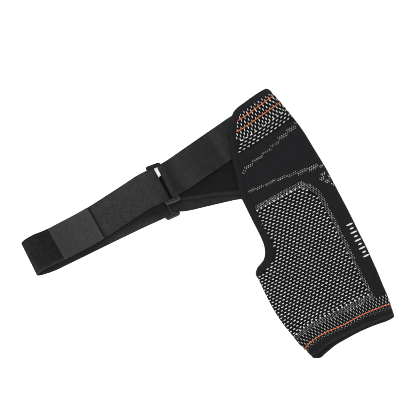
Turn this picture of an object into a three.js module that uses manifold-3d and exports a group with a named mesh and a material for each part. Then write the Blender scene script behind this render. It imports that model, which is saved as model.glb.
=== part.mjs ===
// Shoulder compression sleeve, lying flat on a table with its front panel up.
// Millimetres, +Z up. X runs across the sleeve, Y from the cuff to the shoulder.
// The origin is on the flat underside, under the middle of the arm tube.

import * as THREE from 'three';
import { mergeVertices } from 'three/addons/utils/BufferGeometryUtils.js';
import Module from 'manifold-3d';

const wasm = await Module();
wasm.setup();

// Driving dimensions

const KNIT_WALL = 2.4;
const BINDING_WALL = 3.0;
const BINDING_OUTSET = 0.4;
const BINDING_WIDTH = 10;
const HEM_WALL = 3.2;
const HEM_OUTSET = 0.5;
const HEM_WIDTH = 13.2;
const SEAM_GAP = 0.3;
const FOLD_HEIGHT_SHARE = 0.42;
const FLAT_FROM_SINE = 0.6;
const CROWN_POWER = 0.85;
const MOUTH_LEAN = 0.17;
const MOUTH_LEAN_FROM_Y = -40;
const MOUTH_LEAN_FULL_Y = -95;
const SIDES_ROUND_TUBE = 40;

const STRAP_THICKNESS = 1.8;
const BAND_THICKNESS = 1.8;
const TAB_THICKNESS = 1.2;

const RING_WIDTH = 22;
const RING_LENGTH = 62;
const RING_THICKNESS = 3.5;
const RING_SLOT_WIDTH = 14.4;
const RING_SLOT_LENGTH = 50.8;
const RING_CORNER = 4;
const RING_BEVEL = 0.7;
const FRONT_RING = { x: -127.5, y: 215.4, z: 10.8 };
const BACK_RING = { x: -137.6, y: 196.8, z: 2.2 };

// Cross-sections of the tube: the two folds' places across, and the crown's height.
// Above the underarm the left fold is the one that the armhole cuts away.

const SLEEVE_SECTIONS = [
  { y: -116, left: -61, right: 64, height: 20 },
  { y: -100, left: -64, right: 67.8, height: 21 },
  { y: -90, left: -67.2, right: 70, height: 22 },
  { y: -80, left: -70.4, right: 71.8, height: 23 },
  { y: -60, left: -73.8, right: 73.8, height: 25.5 },
  { y: -40, left: -77, right: 76.2, height: 28 },
  { y: -20, left: -78.5, right: 78, height: 29.5 },
  { y: 0, left: -78.2, right: 79.6, height: 30.5 },
  { y: 20, left: -77, right: 80.4, height: 31 },
  { y: 42, left: -75.4, right: 81.8, height: 31 },
  { y: 60, left: -74.4, right: 82.6, height: 30 },
  { y: 80, left: -72.5, right: 83.2, height: 28.5 },
  { y: 100, left: -69, right: 83.8, height: 27 },
  { y: 120, left: -65, right: 84.4, height: 25.5 },
  { y: 140, left: -60, right: 83.9, height: 24 },
  { y: 160, left: -55, right: 83.2, height: 22.5 },
  { y: 180, left: -49, right: 82.6, height: 21.5 },
  { y: 200, left: -42, right: 80.4, height: 20.5 },
  { y: 220, left: -34, right: 76.9, height: 19.5 },
  { y: 240, left: -25, right: 73.1, height: 18.5 },
  { y: 252, left: -19, right: 70, height: 18 },
  { y: 258, left: -16, right: 68.4, height: 17.6 },
  { y: 262, left: -14, right: 65, height: 17.2 },
  { y: 266, left: -12, right: 61, height: 17 }
];

// Plan outline of the armhole and the cap's top, from the underarm to the right fold.

const ARMHOLE_EDGE = [
  { x: -98, y: 33 },
  { x: -85, y: 34.8 },
  { x: -77.2, y: 38 },
  { x: -73.6, y: 42.4 },
  { x: -69.3, y: 45.6 },
  { x: -63.2, y: 47.7 },
  { x: -57, y: 50.2 },
  { x: -49.8, y: 57.6 },
  { x: -45.4, y: 68 },
  { x: -43.4, y: 82 },
  { x: -42.3, y: 105 },
  { x: -40.9, y: 130 },
  { x: -39.4, y: 150 },
  { x: -33.5, y: 170 },
  { x: -26.4, y: 195 },
  { x: -19, y: 215.7 },
  { x: -11.5, y: 233 },
  { x: -2.5, y: 244 },
  { x: 6, y: 252 },
  { x: 14, y: 256.2 },
  { x: 30, y: 258.8 },
  { x: 50, y: 261 },
  { x: 64, y: 261.6 },
  { x: 82, y: 261 },
  { x: 100, y: 260 }
];

// Plan outline of the cuff, from left to right.

const CUFF_EDGE = [
  { x: -96, y: -99.6 },
  { x: -70, y: -102.6 },
  { x: -62.5, y: -107 },
  { x: -55, y: -110 },
  { x: -44, y: -108.2 },
  { x: -30, y: -105.5 },
  { x: -8, y: -104.8 },
  { x: 12, y: -105.4 },
  { x: 35, y: -108.1 },
  { x: 55, y: -111.6 },
  { x: 65, y: -112.2 },
  { x: 80, y: -110.6 },
  { x: 100, y: -108.6 }
];

// Ribbons: each row is one crossline, with the mid-plane's x and z, the two edges' y,
// and lean, how far the high edge lies to the right of the low one.

const FRONT_BAND_ROWS = [
  { x: -107.5, z: 12, low: 190.9, high: 241.4, lean: 0 },
  { x: -111, z: 12.7, low: 190.7, high: 241.3, lean: 0 },
  { x: -114.3, z: 14.3, low: 190.6, high: 241.2, lean: 0 },
  { x: -118, z: 15.7, low: 190.5, high: 241, lean: 0.4 },
  { x: -122.6, z: 15.7, low: 190.6, high: 240.4, lean: 2.2 },
  { x: -124.5, z: 14.5, low: 190.6, high: 240.4, lean: 2.8 },
  { x: -125.1, z: 12.5, low: 190.6, high: 240.4, lean: 3 },
  { x: -124.5, z: 10.5, low: 190.6, high: 240.4, lean: 2.8 },
  { x: -122.6, z: 9.3, low: 190.6, high: 240.4, lean: 2.2 },
  { x: -115, z: 9.3, low: 190.6, high: 241.3, lean: 0 },
  { x: -108, z: 9.3, low: 190.8, high: 241.6, lean: 0.3 },
  { x: -95, z: 9.5, low: 191.6, high: 242.8, lean: 1 },
  { x: -75, z: 10.2, low: 193.4, high: 244.9, lean: 4 },
  { x: -55, z: 10.8, low: 195, high: 247.4, lean: 11 },
  { x: -38, z: 11.3, low: 196.6, high: 249.6, lean: 19 },
  { x: -28, z: 11.6, low: 197.4, high: 251.2, lean: 26 },
  { x: -16, z: 11.8, low: 198.4, high: 251.4, lean: 28 }
];

const BACK_BAND_ROWS = [
  { x: -108, z: 0.9, low: 166, high: 217.5, lean: 0 },
  { x: -118, z: 0.9, low: 168, high: 219.2, lean: 0 },
  { x: -127, z: 0.9, low: 170.4, high: 220.8, lean: 0 },
  { x: -132, z: 0.95, low: 171.8, high: 221.6, lean: 0 },
  { x: -135.2, z: 2.1, low: 171.8, high: 221.6, lean: 0 },
  { x: -136.45, z: 4, low: 171.8, high: 221.6, lean: 0 },
  { x: -135.2, z: 5.9, low: 171.8, high: 221.6, lean: 0 },
  { x: -132, z: 7, low: 171.8, high: 221.6, lean: 0 },
  { x: -126.5, z: 7, low: 169.6, high: 225.6, lean: 0 },
  { x: -121.5, z: 6, low: 167, high: 225.4, lean: 0 },
  { x: -116.5, z: 4.3, low: 165, high: 223.5, lean: 0 },
  { x: -111.5, z: 3.2, low: 163.2, high: 220.5, lean: 0 },
  { x: -104, z: 3, low: 161, high: 216.5, lean: 0 },
  { x: -97, z: 1.8, low: 159, high: 213, lean: 0.5 },
  { x: -90, z: 1, low: 157, high: 210, lean: 1 },
  { x: -75, z: 0.9, low: 152.6, high: 206, lean: 3 },
  { x: -58, z: 0.9, low: 147.6, high: 201.4, lean: 6 },
  { x: -51, z: 2, low: 145.6, high: 200.4, lean: 8 },
  { x: -46, z: 3.8, low: 143.8, high: 200, lean: 11 },
  { x: -42, z: 4.3, low: 142.2, high: 199.8, lean: 13 },
  { x: -31, z: 4.3, low: 139.6, high: 199.4, lean: 13 }
];

const STRAP_ROWS = [
  { x: -192, z: 0.9, low: 176, high: 226, lean: 0 },
  { x: -160, z: 0.9, low: 173.6, high: 223.4, lean: 0 },
  { x: -148, z: 0.9, low: 171.8, high: 221.4, lean: 0 },
  { x: -142.8, z: 0.95, low: 171.8, high: 221.6, lean: 0 },
  { x: -139.9, z: 2.1, low: 171.8, high: 221.6, lean: 0 },
  { x: -138.55, z: 4, low: 171.8, high: 221.6, lean: 0 },
  { x: -139.9, z: 5.9, low: 171.8, high: 221.6, lean: 0 },
  { x: -142.8, z: 7, low: 171.8, high: 221.6, lean: 0 },
  { x: -149, z: 7, low: 172, high: 222, lean: 0 },
  { x: -155, z: 6, low: 172.8, high: 222.8, lean: 0 },
  { x: -162, z: 4.4, low: 173.4, high: 223.4, lean: 0 },
  { x: -170, z: 3.3, low: 174, high: 224, lean: 0 },
  { x: -194, z: 3.1, low: 175.8, high: 225.8, lean: 0 },
  { x: -202, z: 2.2, low: 176.4, high: 226.4, lean: 0 },
  { x: -212, z: 1, low: 177, high: 227, lean: 0 },
  { x: -250, z: 0.9, low: 179.5, high: 229.5, lean: 0 },
  { x: -300, z: 0.9, low: 182.4, high: 232.4, lean: 0 },
  { x: -326, z: 0.9, low: 184.4, high: 234.6, lean: 0 },
  { x: -337, z: 1, low: 186.4, high: 236.6, lean: 0 },
  { x: -342, z: 2.2, low: 187.8, high: 238, lean: 2 },
  { x: -344.8, z: 4.6, low: 189.2, high: 239.6, lean: 3.4 },
  { x: -344, z: 7.2, low: 190.2, high: 241, lean: 3.6 },
  { x: -340, z: 8.6, low: 191, high: 242, lean: 3 },
  { x: -333, z: 8.4, low: 191.6, high: 242.6, lean: 1.4 },
  { x: -322, z: 6.2, low: 191.2, high: 242.3, lean: 0.4 },
  { x: -312, z: 4.1, low: 190.5, high: 241, lean: 0 },
  { x: -304, z: 3.2, low: 189.8, high: 240.4, lean: 0 },
  { x: -290, z: 3.1, low: 188.8, high: 239.4, lean: 0 },
  { x: -250, z: 3.1, low: 188.4, high: 238.6, lean: 0 },
  { x: -216, z: 3.2, low: 189.8, high: 239.8, lean: 0 },
  { x: -204, z: 4.4, low: 190.7, high: 240.5, lean: 0 },
  { x: -194, z: 5.4, low: 191.4, high: 241, lean: 0 },
  { x: -172, z: 5.7, low: 193, high: 242.4, lean: 0 },
  { x: -163, z: 7.1, low: 193.5, high: 242.9, lean: 0 },
  { x: -154, z: 8.9, low: 193.4, high: 243, lean: 0 },
  { x: -147, z: 9.35, low: 192.4, high: 242.2, lean: 0 },
  { x: -138, z: 9.35, low: 191.2, high: 240.9, lean: 0 },
  { x: -133, z: 9.4, low: 190.7, high: 240.4, lean: 0 },
  { x: -130.8, z: 10.6, low: 190.7, high: 240.4, lean: 0 },
  { x: -129.9, z: 12.5, low: 190.7, high: 240.4, lean: 0 },
  { x: -130.8, z: 14.4, low: 190.7, high: 240.4, lean: 0 },
  { x: -133, z: 15.6, low: 190.7, high: 240.4, lean: 0 },
  { x: -139, z: 15.6, low: 192, high: 241.8, lean: 0 },
  { x: -146, z: 14.2, low: 192.6, high: 242.6, lean: 0 },
  { x: -156, z: 11.4, low: 193.6, high: 243.2, lean: 0 },
  { x: -166, z: 9, low: 193.5, high: 242.9, lean: 0 },
  { x: -176, z: 7.9, low: 192.8, high: 242.2, lean: 0 },
  { x: -194, z: 7.6, low: 191.4, high: 241, lean: 0 },
  { x: -206, z: 6.4, low: 190.6, high: 240.4, lean: 0 },
  { x: -218, z: 5.4, low: 189.7, high: 239.7, lean: 0 },
  { x: -236, z: 5.3, low: 188.8, high: 238.8, lean: 0 },
  { x: -250, z: 5.3, low: 188.4, high: 238.6, lean: 0 }
];

const HOOK_TAB_ROWS = [
  { x: -238, z: 7.1, low: 188.6, high: 239, lean: 0 },
  { x: -251, z: 7.1, low: 188.3, high: 238.8, lean: 0 },
  { x: -256, z: 6.4, low: 188.3, high: 238.9, lean: 0 },
  { x: -262, z: 5.2, low: 188.4, high: 239, lean: 0 },
  { x: -268, z: 4.95, low: 188.5, high: 239.2, lean: 0 },
  { x: -302, z: 4.95, low: 189.6, high: 240.2, lean: 0 }
];

// Tables and plan paths

function lookUp(rows, y, column) {
  const last = rows.length - 1;
  if (y <= rows[0].y) return rows[0][column];
  if (y >= rows[last].y) return rows[last][column];
  const upper = rows.findIndex((row) => row.y > y);
  const a = rows[upper - 1];
  const b = rows[upper];
  return THREE.MathUtils.mapLinear(y, a.y, b.y, a[column], b[column]);
}

function smoothPath(rows, pointsPerRow = 2) {
  const curve = new THREE.SplineCurve(rows.map((row) => new THREE.Vector2(row.x, row.y)));
  return curve.getPoints((rows.length - 1) * pointsPerRow);
}

// Moves a path sideways: a positive distance goes to the right of its direction.
function offsetPath(points, distance) {
  return points.map((point, i) => {
    const before = points[Math.max(i - 1, 0)];
    const after = points[Math.min(i + 1, points.length - 1)];
    const along = after.clone().sub(before).normalize();
    return new THREE.Vector2(point.x + along.y * distance, point.y - along.x * distance);
  });
}

// Solids

function solidFromGeometry(geometry) {
  const bare = new THREE.BufferGeometry();
  bare.setAttribute('position', geometry.getAttribute('position').clone());
  if (geometry.index) bare.setIndex(geometry.index.clone());
  const merged = mergeVertices(bare, 1e-4);
  return new wasm.Manifold(new wasm.Mesh({
    numProp: 3,
    vertProperties: new Float32Array(merged.getAttribute('position').array),
    triVerts: new Uint32Array(merged.index.array)
  }));
}

function geometryFromSolid(solid) {
  const mesh = solid.getMesh();
  const geometry = new THREE.BufferGeometry();
  geometry.setAttribute('position', new THREE.BufferAttribute(new Float32Array(mesh.vertProperties), 3));
  geometry.setIndex(new THREE.BufferAttribute(new Uint32Array(mesh.triVerts), 1));
  return geometry;
}

function gridGeometry(rings, closedAcross) {
  const across = rings[0].length;
  const positions = [];
  const index = [];
  rings.forEach((ring) => ring.forEach((p) => positions.push(p.x, p.y, p.z)));
  rings.forEach((ring, r) => {
    const next = (r + 1) % rings.length;
    if (next === 0 && !closedAcross) return;
    for (let i = 0; i < across; i++) {
      const j = (i + 1) % across;
      const a = r * across + i;
      const b = r * across + j;
      const c = next * across + j;
      const d = next * across + i;
      index.push(a, c, b, a, d, c);
    }
  });
  const geometry = new THREE.BufferGeometry();
  geometry.setAttribute('position', new THREE.Float32BufferAttribute(positions, 3));
  geometry.setIndex(index);
  return geometry;
}

// One point of the flattened tube: a round fold at each side, a low crown, a flat underside.
function tubePoint(y, turn, grow, base) {
  const left = lookUp(SLEEVE_SECTIONS, y, 'left') - grow;
  const right = lookUp(SLEEVE_SECTIONS, y, 'right') + grow;
  const height = lookUp(SLEEVE_SECTIONS, y, 'height') + grow - base;
  const side = height * FOLD_HEIGHT_SHARE;
  const sine = Math.sin(turn);
  const x = (left + right) / 2 + ((right - left) / 2) * Math.cos(turn);
  if (sine >= 0) return new THREE.Vector3(x, y, base + side + (height - side) * sine ** CROWN_POWER);
  const drop = Math.min(1, -sine / FLAT_FROM_SINE);
  return new THREE.Vector3(x, y, base + side * (1 - Math.sin((drop * Math.PI) / 2)));
}

function tubeRing(y, grow, base) {
  const ring = [];
  for (let i = 0; i < SIDES_ROUND_TUBE; i++) {
    ring.push(tubePoint(y, (2 * Math.PI * i) / SIDES_ROUND_TUBE, grow, base));
  }
  return ring;
}

// A hollow tube through all the sections: outer skin one way, inner skin back, closed on itself.
function tubeShell(outset, wall) {
  const outer = SLEEVE_SECTIONS.map((row) => tubeRing(row.y, outset, 0));
  const inner = SLEEVE_SECTIONS.map((row) => tubeRing(row.y, outset - wall, wall)).reverse();
  return solidFromGeometry(gridGeometry([...outer, ...inner], true));
}

function prism(points) {
  const geometry = new THREE.ExtrudeGeometry(new THREE.Shape(points), { depth: 80, bevelEnabled: false });
  geometry.translate(0, 0, -20);
  return solidFromGeometry(geometry);
}

function strip(path, width) {
  return prism([...path, ...offsetPath(path, width).reverse()]);
}

// The mouth of the cuff leans back: the upper layer ends a little short of the lower one.
function leanMouth(geometry) {
  const position = geometry.getAttribute('position');
  for (let i = 0; i < position.count; i++) {
    const share = THREE.MathUtils.smoothstep(-position.getY(i), -MOUTH_LEAN_FROM_Y, -MOUTH_LEAN_FULL_Y);
    position.setY(i, position.getY(i) + MOUTH_LEAN * share * position.getZ(i));
  }
  return geometry;
}

// A strip of cloth through crosslines, its thickness square to its path in the XZ plane.
function ribbonGeometry(rows, thickness) {
  const half = thickness / 2;
  const rings = rows.map((row, i) => {
    const before = rows[Math.max(i - 1, 0)];
    const after = rows[Math.min(i + 1, rows.length - 1)];
    const along = new THREE.Vector2(after.x - before.x, after.z - before.z).normalize();
    const nx = -along.y * half;
    const nz = along.x * half;
    return [
      new THREE.Vector3(row.x + nx, row.low, row.z + nz),
      new THREE.Vector3(row.x + row.lean + nx, row.high, row.z + nz),
      new THREE.Vector3(row.x + row.lean - nx, row.high, row.z - nz),
      new THREE.Vector3(row.x - nx, row.low, row.z - nz)
    ];
  });
  const geometry = gridGeometry(rings, false);
  const last = (rings.length - 1) * 4;
  const startCap = [0, 1, 2, 0, 2, 3];
  const endCap = [last, last + 2, last + 1, last, last + 3, last + 2];
  geometry.setIndex([...geometry.index.array, ...startCap, ...endCap]);
  return geometry;
}

function roundedRectangle(target, width, length, corner) {
  const w = width / 2;
  const l = length / 2;
  target.moveTo(-w + corner, -l);
  target.lineTo(w - corner, -l);
  target.absarc(w - corner, -l + corner, corner, -Math.PI / 2, 0, false);
  target.lineTo(w, l - corner);
  target.absarc(w - corner, l - corner, corner, 0, Math.PI / 2, false);
  target.lineTo(-w + corner, l);
  target.absarc(-w + corner, l - corner, corner, Math.PI / 2, Math.PI, false);
  target.lineTo(-w, -l + corner);
  target.absarc(-w + corner, -l + corner, corner, Math.PI, 1.5 * Math.PI, false);
  return target;
}

function ringGeometry() {
  const b = RING_BEVEL;
  const shape = roundedRectangle(new THREE.Shape(), RING_WIDTH - 2 * b, RING_LENGTH - 2 * b, RING_CORNER - b);
  const slot = roundedRectangle(new THREE.Path(), RING_SLOT_WIDTH + 2 * b, RING_SLOT_LENGTH + 2 * b, 1 + b);
  shape.holes.push(slot);
  const geometry = new THREE.ExtrudeGeometry(shape, {
    depth: RING_THICKNESS - 2 * b,
    bevelEnabled: true,
    bevelSize: b,
    bevelThickness: b,
    bevelSegments: 2,
    curveSegments: 5
  });
  geometry.translate(0, 0, b);
  return geometry;
}

// The sleeve, cut to its plan outline, with its binding and hem

const armholePath = smoothPath(ARMHOLE_EDGE);
const cuffPath = smoothPath(CUFF_EDGE);
const armholeSeam = offsetPath(armholePath, BINDING_WIDTH + SEAM_GAP);
const cuffSeam = offsetPath(cuffPath, -HEM_WIDTH - SEAM_GAP);

const aboveArmhole = prism([
  ...armholeSeam,
  new THREE.Vector2(140, 320),
  new THREE.Vector2(-140, 320),
  new THREE.Vector2(-140, armholeSeam[0].y)
]);
const belowCuff = prism([
  ...cuffSeam,
  new THREE.Vector2(140, -180),
  new THREE.Vector2(-140, -180)
]);

const sleeveSolid = tubeShell(0, KNIT_WALL).subtract(aboveArmhole).subtract(belowCuff);
const bindingSolid = tubeShell(BINDING_OUTSET, BINDING_WALL).intersect(strip(armholePath, BINDING_WIDTH));
const hemSolid = tubeShell(HEM_OUTSET, HEM_WALL).intersect(strip(cuffPath, -HEM_WIDTH));

// Materials and nodes

const cloth = (color, roughness) => new THREE.MeshStandardMaterial({ color, roughness, metalness: 0 });

const shoulderSleeve = new THREE.Group();

function addPiece(name, geometry, material, place) {
  geometry.computeVertexNormals();
  const mesh = new THREE.Mesh(geometry, material);
  mesh.name = name;
  if (place) mesh.position.set(place.x, place.y, place.z);
  shoulderSleeve.add(mesh);
}

addPiece('knit_sleeve', leanMouth(geometryFromSolid(sleeveSolid)), cloth('#232323', 0.95));
addPiece('cuff_hem', leanMouth(geometryFromSolid(hemSolid)), cloth('#1f1f21', 0.92));
addPiece('edge_binding', geometryFromSolid(bindingSolid), cloth('#26252b', 0.88));
addPiece('front_band', ribbonGeometry(FRONT_BAND_ROWS, BAND_THICKNESS), cloth('#333334', 0.9));
addPiece('back_band', ribbonGeometry(BACK_BAND_ROWS, BAND_THICKNESS), cloth('#303133', 0.9));
addPiece('strap', ribbonGeometry(STRAP_ROWS, STRAP_THICKNESS), cloth('#373737', 0.9));
addPiece('hook_tab', ribbonGeometry(HOOK_TAB_ROWS, TAB_THICKNESS), cloth('#3e3e3f', 0.75));

const plastic = () => new THREE.MeshStandardMaterial({ color: '#1d1d1f', roughness: 0.45, metalness: 0 });
addPiece('front_ring', ringGeometry(), plastic(), FRONT_RING);
addPiece('back_ring', ringGeometry(), plastic(), BACK_RING);

export default shoulderSleeve;
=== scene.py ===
# %% [markdown]
# # A knitted shoulder sleeve, laid flat
#
# The subject is a compression sleeve for the upper arm. It is a knitted tube with a cap that goes over
# the shoulder, and a chest strap that joins the front of the cap to its back. This file dresses the
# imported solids: it makes every cloth surface again, finely, and gives each one the finish that it has.
# All lengths are in millimetres until a mesh is written. X runs across the sleeve, Y from the cuff to the
# shoulder, and Z up from the table.

import math

import bpy
import numpy as np
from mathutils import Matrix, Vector


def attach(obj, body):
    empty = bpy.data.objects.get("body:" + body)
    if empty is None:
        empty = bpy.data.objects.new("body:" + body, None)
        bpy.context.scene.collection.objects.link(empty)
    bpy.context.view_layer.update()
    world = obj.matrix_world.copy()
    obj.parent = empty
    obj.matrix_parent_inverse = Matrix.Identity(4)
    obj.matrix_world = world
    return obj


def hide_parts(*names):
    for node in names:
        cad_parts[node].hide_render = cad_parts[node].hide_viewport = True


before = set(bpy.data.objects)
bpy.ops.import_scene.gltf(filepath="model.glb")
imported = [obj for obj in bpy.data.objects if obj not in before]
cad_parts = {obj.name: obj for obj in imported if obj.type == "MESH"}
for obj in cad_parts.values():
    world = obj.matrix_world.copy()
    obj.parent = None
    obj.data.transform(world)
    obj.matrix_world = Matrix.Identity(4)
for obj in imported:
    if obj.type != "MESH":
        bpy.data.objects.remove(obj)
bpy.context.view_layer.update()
print("solids:", ", ".join(sorted(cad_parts)))

# %% [markdown]
# ## From arrays to meshes
#
# A surface that is worked out as a function of two parameters is a grid of points. One helper turns any
# such grid into faces, and can close it on itself in either direction, so a tube, a ring and a flat
# sheet are the same few lines. The texture coordinates are stored for each face corner, so a closed
# grid has one more column of them than of points, and no pattern runs backwards across its seam.

# %% Grids and pieces
MM = 0.001


def grid_faces(shape, close_rows=False, close_columns=False, uv=None):
    """Faces of a grid of points, four point numbers each, with the texture point of each corner."""
    rows, columns = shape
    r = np.arange(rows if close_rows else rows - 1)
    c = np.arange(columns if close_columns else columns - 1)
    r, c = (a.ravel() for a in np.meshgrid(r, c, indexing="ij"))
    r = np.stack([r, r, r + 1, r + 1], -1)
    c = np.stack([c, c + 1, c + 1, c], -1)
    return (r % rows) * columns + c % columns, None if uv is None else uv[r, c].reshape(-1, 2)


def make_piece(name, points, faces, uv=None, shade=None):
    """A mesh object at the origin. Points are in mm, and faces is a list of arrays of corner numbers,
    one array for each number of corners. Points that no face uses are left out."""
    points = np.asarray(points, float).reshape(-1, 3)
    used = np.unique(np.concatenate([group.ravel() for group in faces]))
    renamed = np.zeros(len(points), int)
    renamed[used] = np.arange(len(used))
    corners = [face for group in faces for face in renamed[group].tolist()]
    mesh = bpy.data.meshes.new(name)
    mesh.from_pydata((points[used] * MM).tolist(), [], corners)
    if uv is not None:
        filled = np.zeros((len(mesh.loops), 2))
        filled[: len(uv)] = uv
        mesh.uv_layers.new(name="cloth").data.foreach_set("uv", filled.ravel())
    if shade is not None:
        column = mesh.attributes.new("shade", "FLOAT", "POINT")
        column.data.foreach_set("value", np.asarray(shade, float).ravel()[used])
    mesh.polygons.foreach_set("use_smooth", np.ones(len(mesh.polygons), bool))
    mesh.update()
    piece = bpy.data.objects.new(name, mesh)
    bpy.context.scene.collection.objects.link(piece)
    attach(piece, "root")
    print(name, "has", len(mesh.polygons), "faces")
    return piece


def smooth_table(knots, values, at):
    """Reads a table between its rows: a cubic that keeps the rows' values and their slopes there."""
    knots = np.asarray(knots, float)
    values = np.asarray(values, float)
    slope = np.gradient(values, knots)
    at = np.clip(at, knots[0], knots[-1])
    i = np.clip(np.searchsorted(knots, at) - 1, 0, len(knots) - 2)
    span = knots[i + 1] - knots[i]
    t = (at - knots[i]) / span
    start = (1 + 2 * t) * (1 - t) ** 2 * values[i] + t * (1 - t) ** 2 * span * slope[i]
    return start + t * t * (3 - 2 * t) * values[i + 1] + t * t * (t - 1) * span * slope[i + 1]


def smooth_step(low, high, value):
    """A share that goes from 0 at low to 1 at high, level at both ends."""
    t = np.clip((value - low) / (high - low), 0, 1)
    return t * t * (3 - 2 * t)


def bell(away, spread):
    """A bell curve: 1 where away is 0, and 1 / e where it is one spread to either side."""
    return np.exp(-((away / spread) ** 2))


def unit(vectors):
    """The same directions with length one."""
    return vectors / np.linalg.norm(vectors, axis=-1, keepdims=True)


def steps_along(points):
    """Length of the way from the first point of a line to each of its points."""
    return np.r_[0, np.cumsum(np.linalg.norm(np.diff(points, axis=0), axis=-1))]


def read_rows(rows, way, at):
    """Rows of a table at these ways along it, straight from each row to the next."""
    return np.stack([np.interp(at, way, column) for column in rows.T], -1)


# %% [markdown]
# ## Finishes as arithmetic
#
# A cloth finish is mostly arithmetic on the cloth's own two coordinates, in millimetres along and across
# the threads. A node tree for that is long to draw, so a small class wraps a socket and lets the finish
# be written as an expression.


# %% Wires
class Wire:
    """A socket in a material. Arithmetic adds Math nodes; node() adds any other kind of node."""

    def __init__(self, tree, socket=None):
        self.tree = tree
        self.socket = socket

    def node(self, kind, settings=(), inputs=(), output=0):
        made = self.tree.nodes.new(kind)
        for name, value in dict(settings).items():
            setattr(made, name, value)
        for name, value in dict(inputs).items():
            if isinstance(value, Wire):
                self.tree.links.new(value.socket, made.inputs[name])
            else:
                made.inputs[name].default_value = value
        return Wire(self.tree, made.outputs[output])

    def math(self, operation, *values):
        return self.node("ShaderNodeMath", {"operation": operation}, enumerate(values))

    def __add__(self, other):
        return self.math("ADD", self, other)

    def __sub__(self, other):
        return self.math("SUBTRACT", self, other)

    def __rsub__(self, other):
        return self.math("SUBTRACT", other, self)

    def __mul__(self, other):
        return self.math("MULTIPLY", self, other)

    def __pow__(self, other):
        return self.math("POWER", self, other)

    __radd__ = __add__
    __rmul__ = __mul__

    def wave(self, pitch):
        """A sine of this value that repeats every pitch, from 0 to 1."""
        return self.math("SINE", self * (2 * math.pi / pitch)) * 0.5 + 0.5

    def tent(self, pitch):
        """Straight up and down between 0 and 1, once for each pitch."""
        return self.math("PINGPONG", self, pitch / 2) * (2 / pitch)


# %% [markdown]
# A finish wraps one material. Most cloths here are built alike: their weave gives both the relief and the
# light and dark of the yarn, a cloudy mottle keeps them from looking printed, and a number that each point
# carries, its shade, dims the whole. One method, `dress`, does that.


# %% Finishes
def tone(red, green, blue):
    """A linear colour with full alpha."""
    return (red, green, blue, 1.0)


class Finish:
    """A material with one Principled shader; its fixed numbers are set on the shader's own sockets."""

    def __init__(self, name, roughness, shine, **fixed):
        self.material = bpy.data.materials.new(name)
        self.material.use_nodes = True
        self.shader = self.material.node_tree.nodes["Principled BSDF"]
        self.tree = Wire(self.material.node_tree)
        for socket, value in dict(fixed, Roughness=roughness, Specular_IOR_Level=shine).items():
            self.shader.inputs[socket.replace("_", " ")].default_value = value

    def cloth_mm(self):
        """The cloth's own coordinates in mm: along the thread path, and across it."""
        place = self.tree.node("ShaderNodeUVMap", {"uv_map": "cloth"})
        return [self.tree.node("ShaderNodeSeparateXYZ", (), {0: place}, axis) for axis in (0, 1)]

    def solid_noise(self, grain, detail=3.0, rough=0.55):
        """A cloudy value from 0 to 1 over the object's own space, with lumps about grain mm wide."""
        place = self.tree.node("ShaderNodeTexCoord", (), (), "Object")
        inputs = {"Vector": place, "Scale": 1 / (grain * MM), "Detail": detail, "Roughness": rough}
        return self.tree.node("ShaderNodeTexNoise", (), inputs)

    def mottle(self, grain):
        """Lumps about grain mm wide with more contrast than plain noise has: 0 where the noise is below
        0.3, 1 where it is above 0.7, smooth between."""
        inputs = {"Value": self.solid_noise(grain, 2.0, 0.6), "From Min": 0.3, "From Max": 0.7}
        return self.tree.node("ShaderNodeMapRange", {"interpolation_type": "SMOOTHSTEP"}, inputs)

    def painted(self):
        """The number that each point of the piece carries under the name shade."""
        return self.tree.node("ShaderNodeAttribute", {"attribute_name": "shade"}, (), "Fac")

    def mix(self, share, first, second):
        """A colour between two, by share."""
        inputs = {0: share, 6: first, 7: second}
        return self.tree.node("ShaderNodeMix", {"data_type": "RGBA"}, inputs, 2)

    def feed(self, socket, wire):
        """Links a wire to one of the shader's sockets."""
        self.tree.tree.links.new(wire.socket, self.shader.inputs[socket])

    def colour(self, value, full):
        """Feeds the shader's colour with a full colour dimmed by a value: black at 0, full at 1."""
        self.feed("Base Color", self.mix(value, tone(0.0, 0.0, 0.0), full))

    def relief(self, height, depth_mm):
        """Feeds the shader's normal with a bump: height 0 to 1 stands for depth_mm of relief."""
        inputs = {"Strength": 1.0, "Distance": depth_mm * MM, "Height": height}
        self.feed("Normal", self.tree.node("ShaderNodeBump", (), inputs))

    def dress(self, weave, depth_mm, full, even, woven, mottled, grain):
        """Relief from the weave, and a colour: full times the shade times the sum of an even share, a
        share that follows the weave, and a share that follows a mottle of this grain."""
        self.relief(weave, depth_mm)
        self.colour(self.painted() * (even + woven * weave + mottled * self.mottle(grain)), full)

    def put_on(self, *pieces):
        """Adds this material to each piece's slots."""
        for piece in pieces:
            piece.data.materials.append(self.material)


# %% [markdown]
# ## The knitted tube as a formula
#
# A springy knit tube that lies on a table is a pillow: a fold at each side, a low crown, and a flat
# underside. Two numbers name a point of it. One is y, the place along the arm. The other is the turn
# round the section: 0 at the right fold, a quarter turn at the crown, a half turn at the left fold, and
# negative underneath. The table gives the folds and the crown's height at each y. Above the underarm
# the left fold is only a guide, because the armhole cuts it away.

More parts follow.
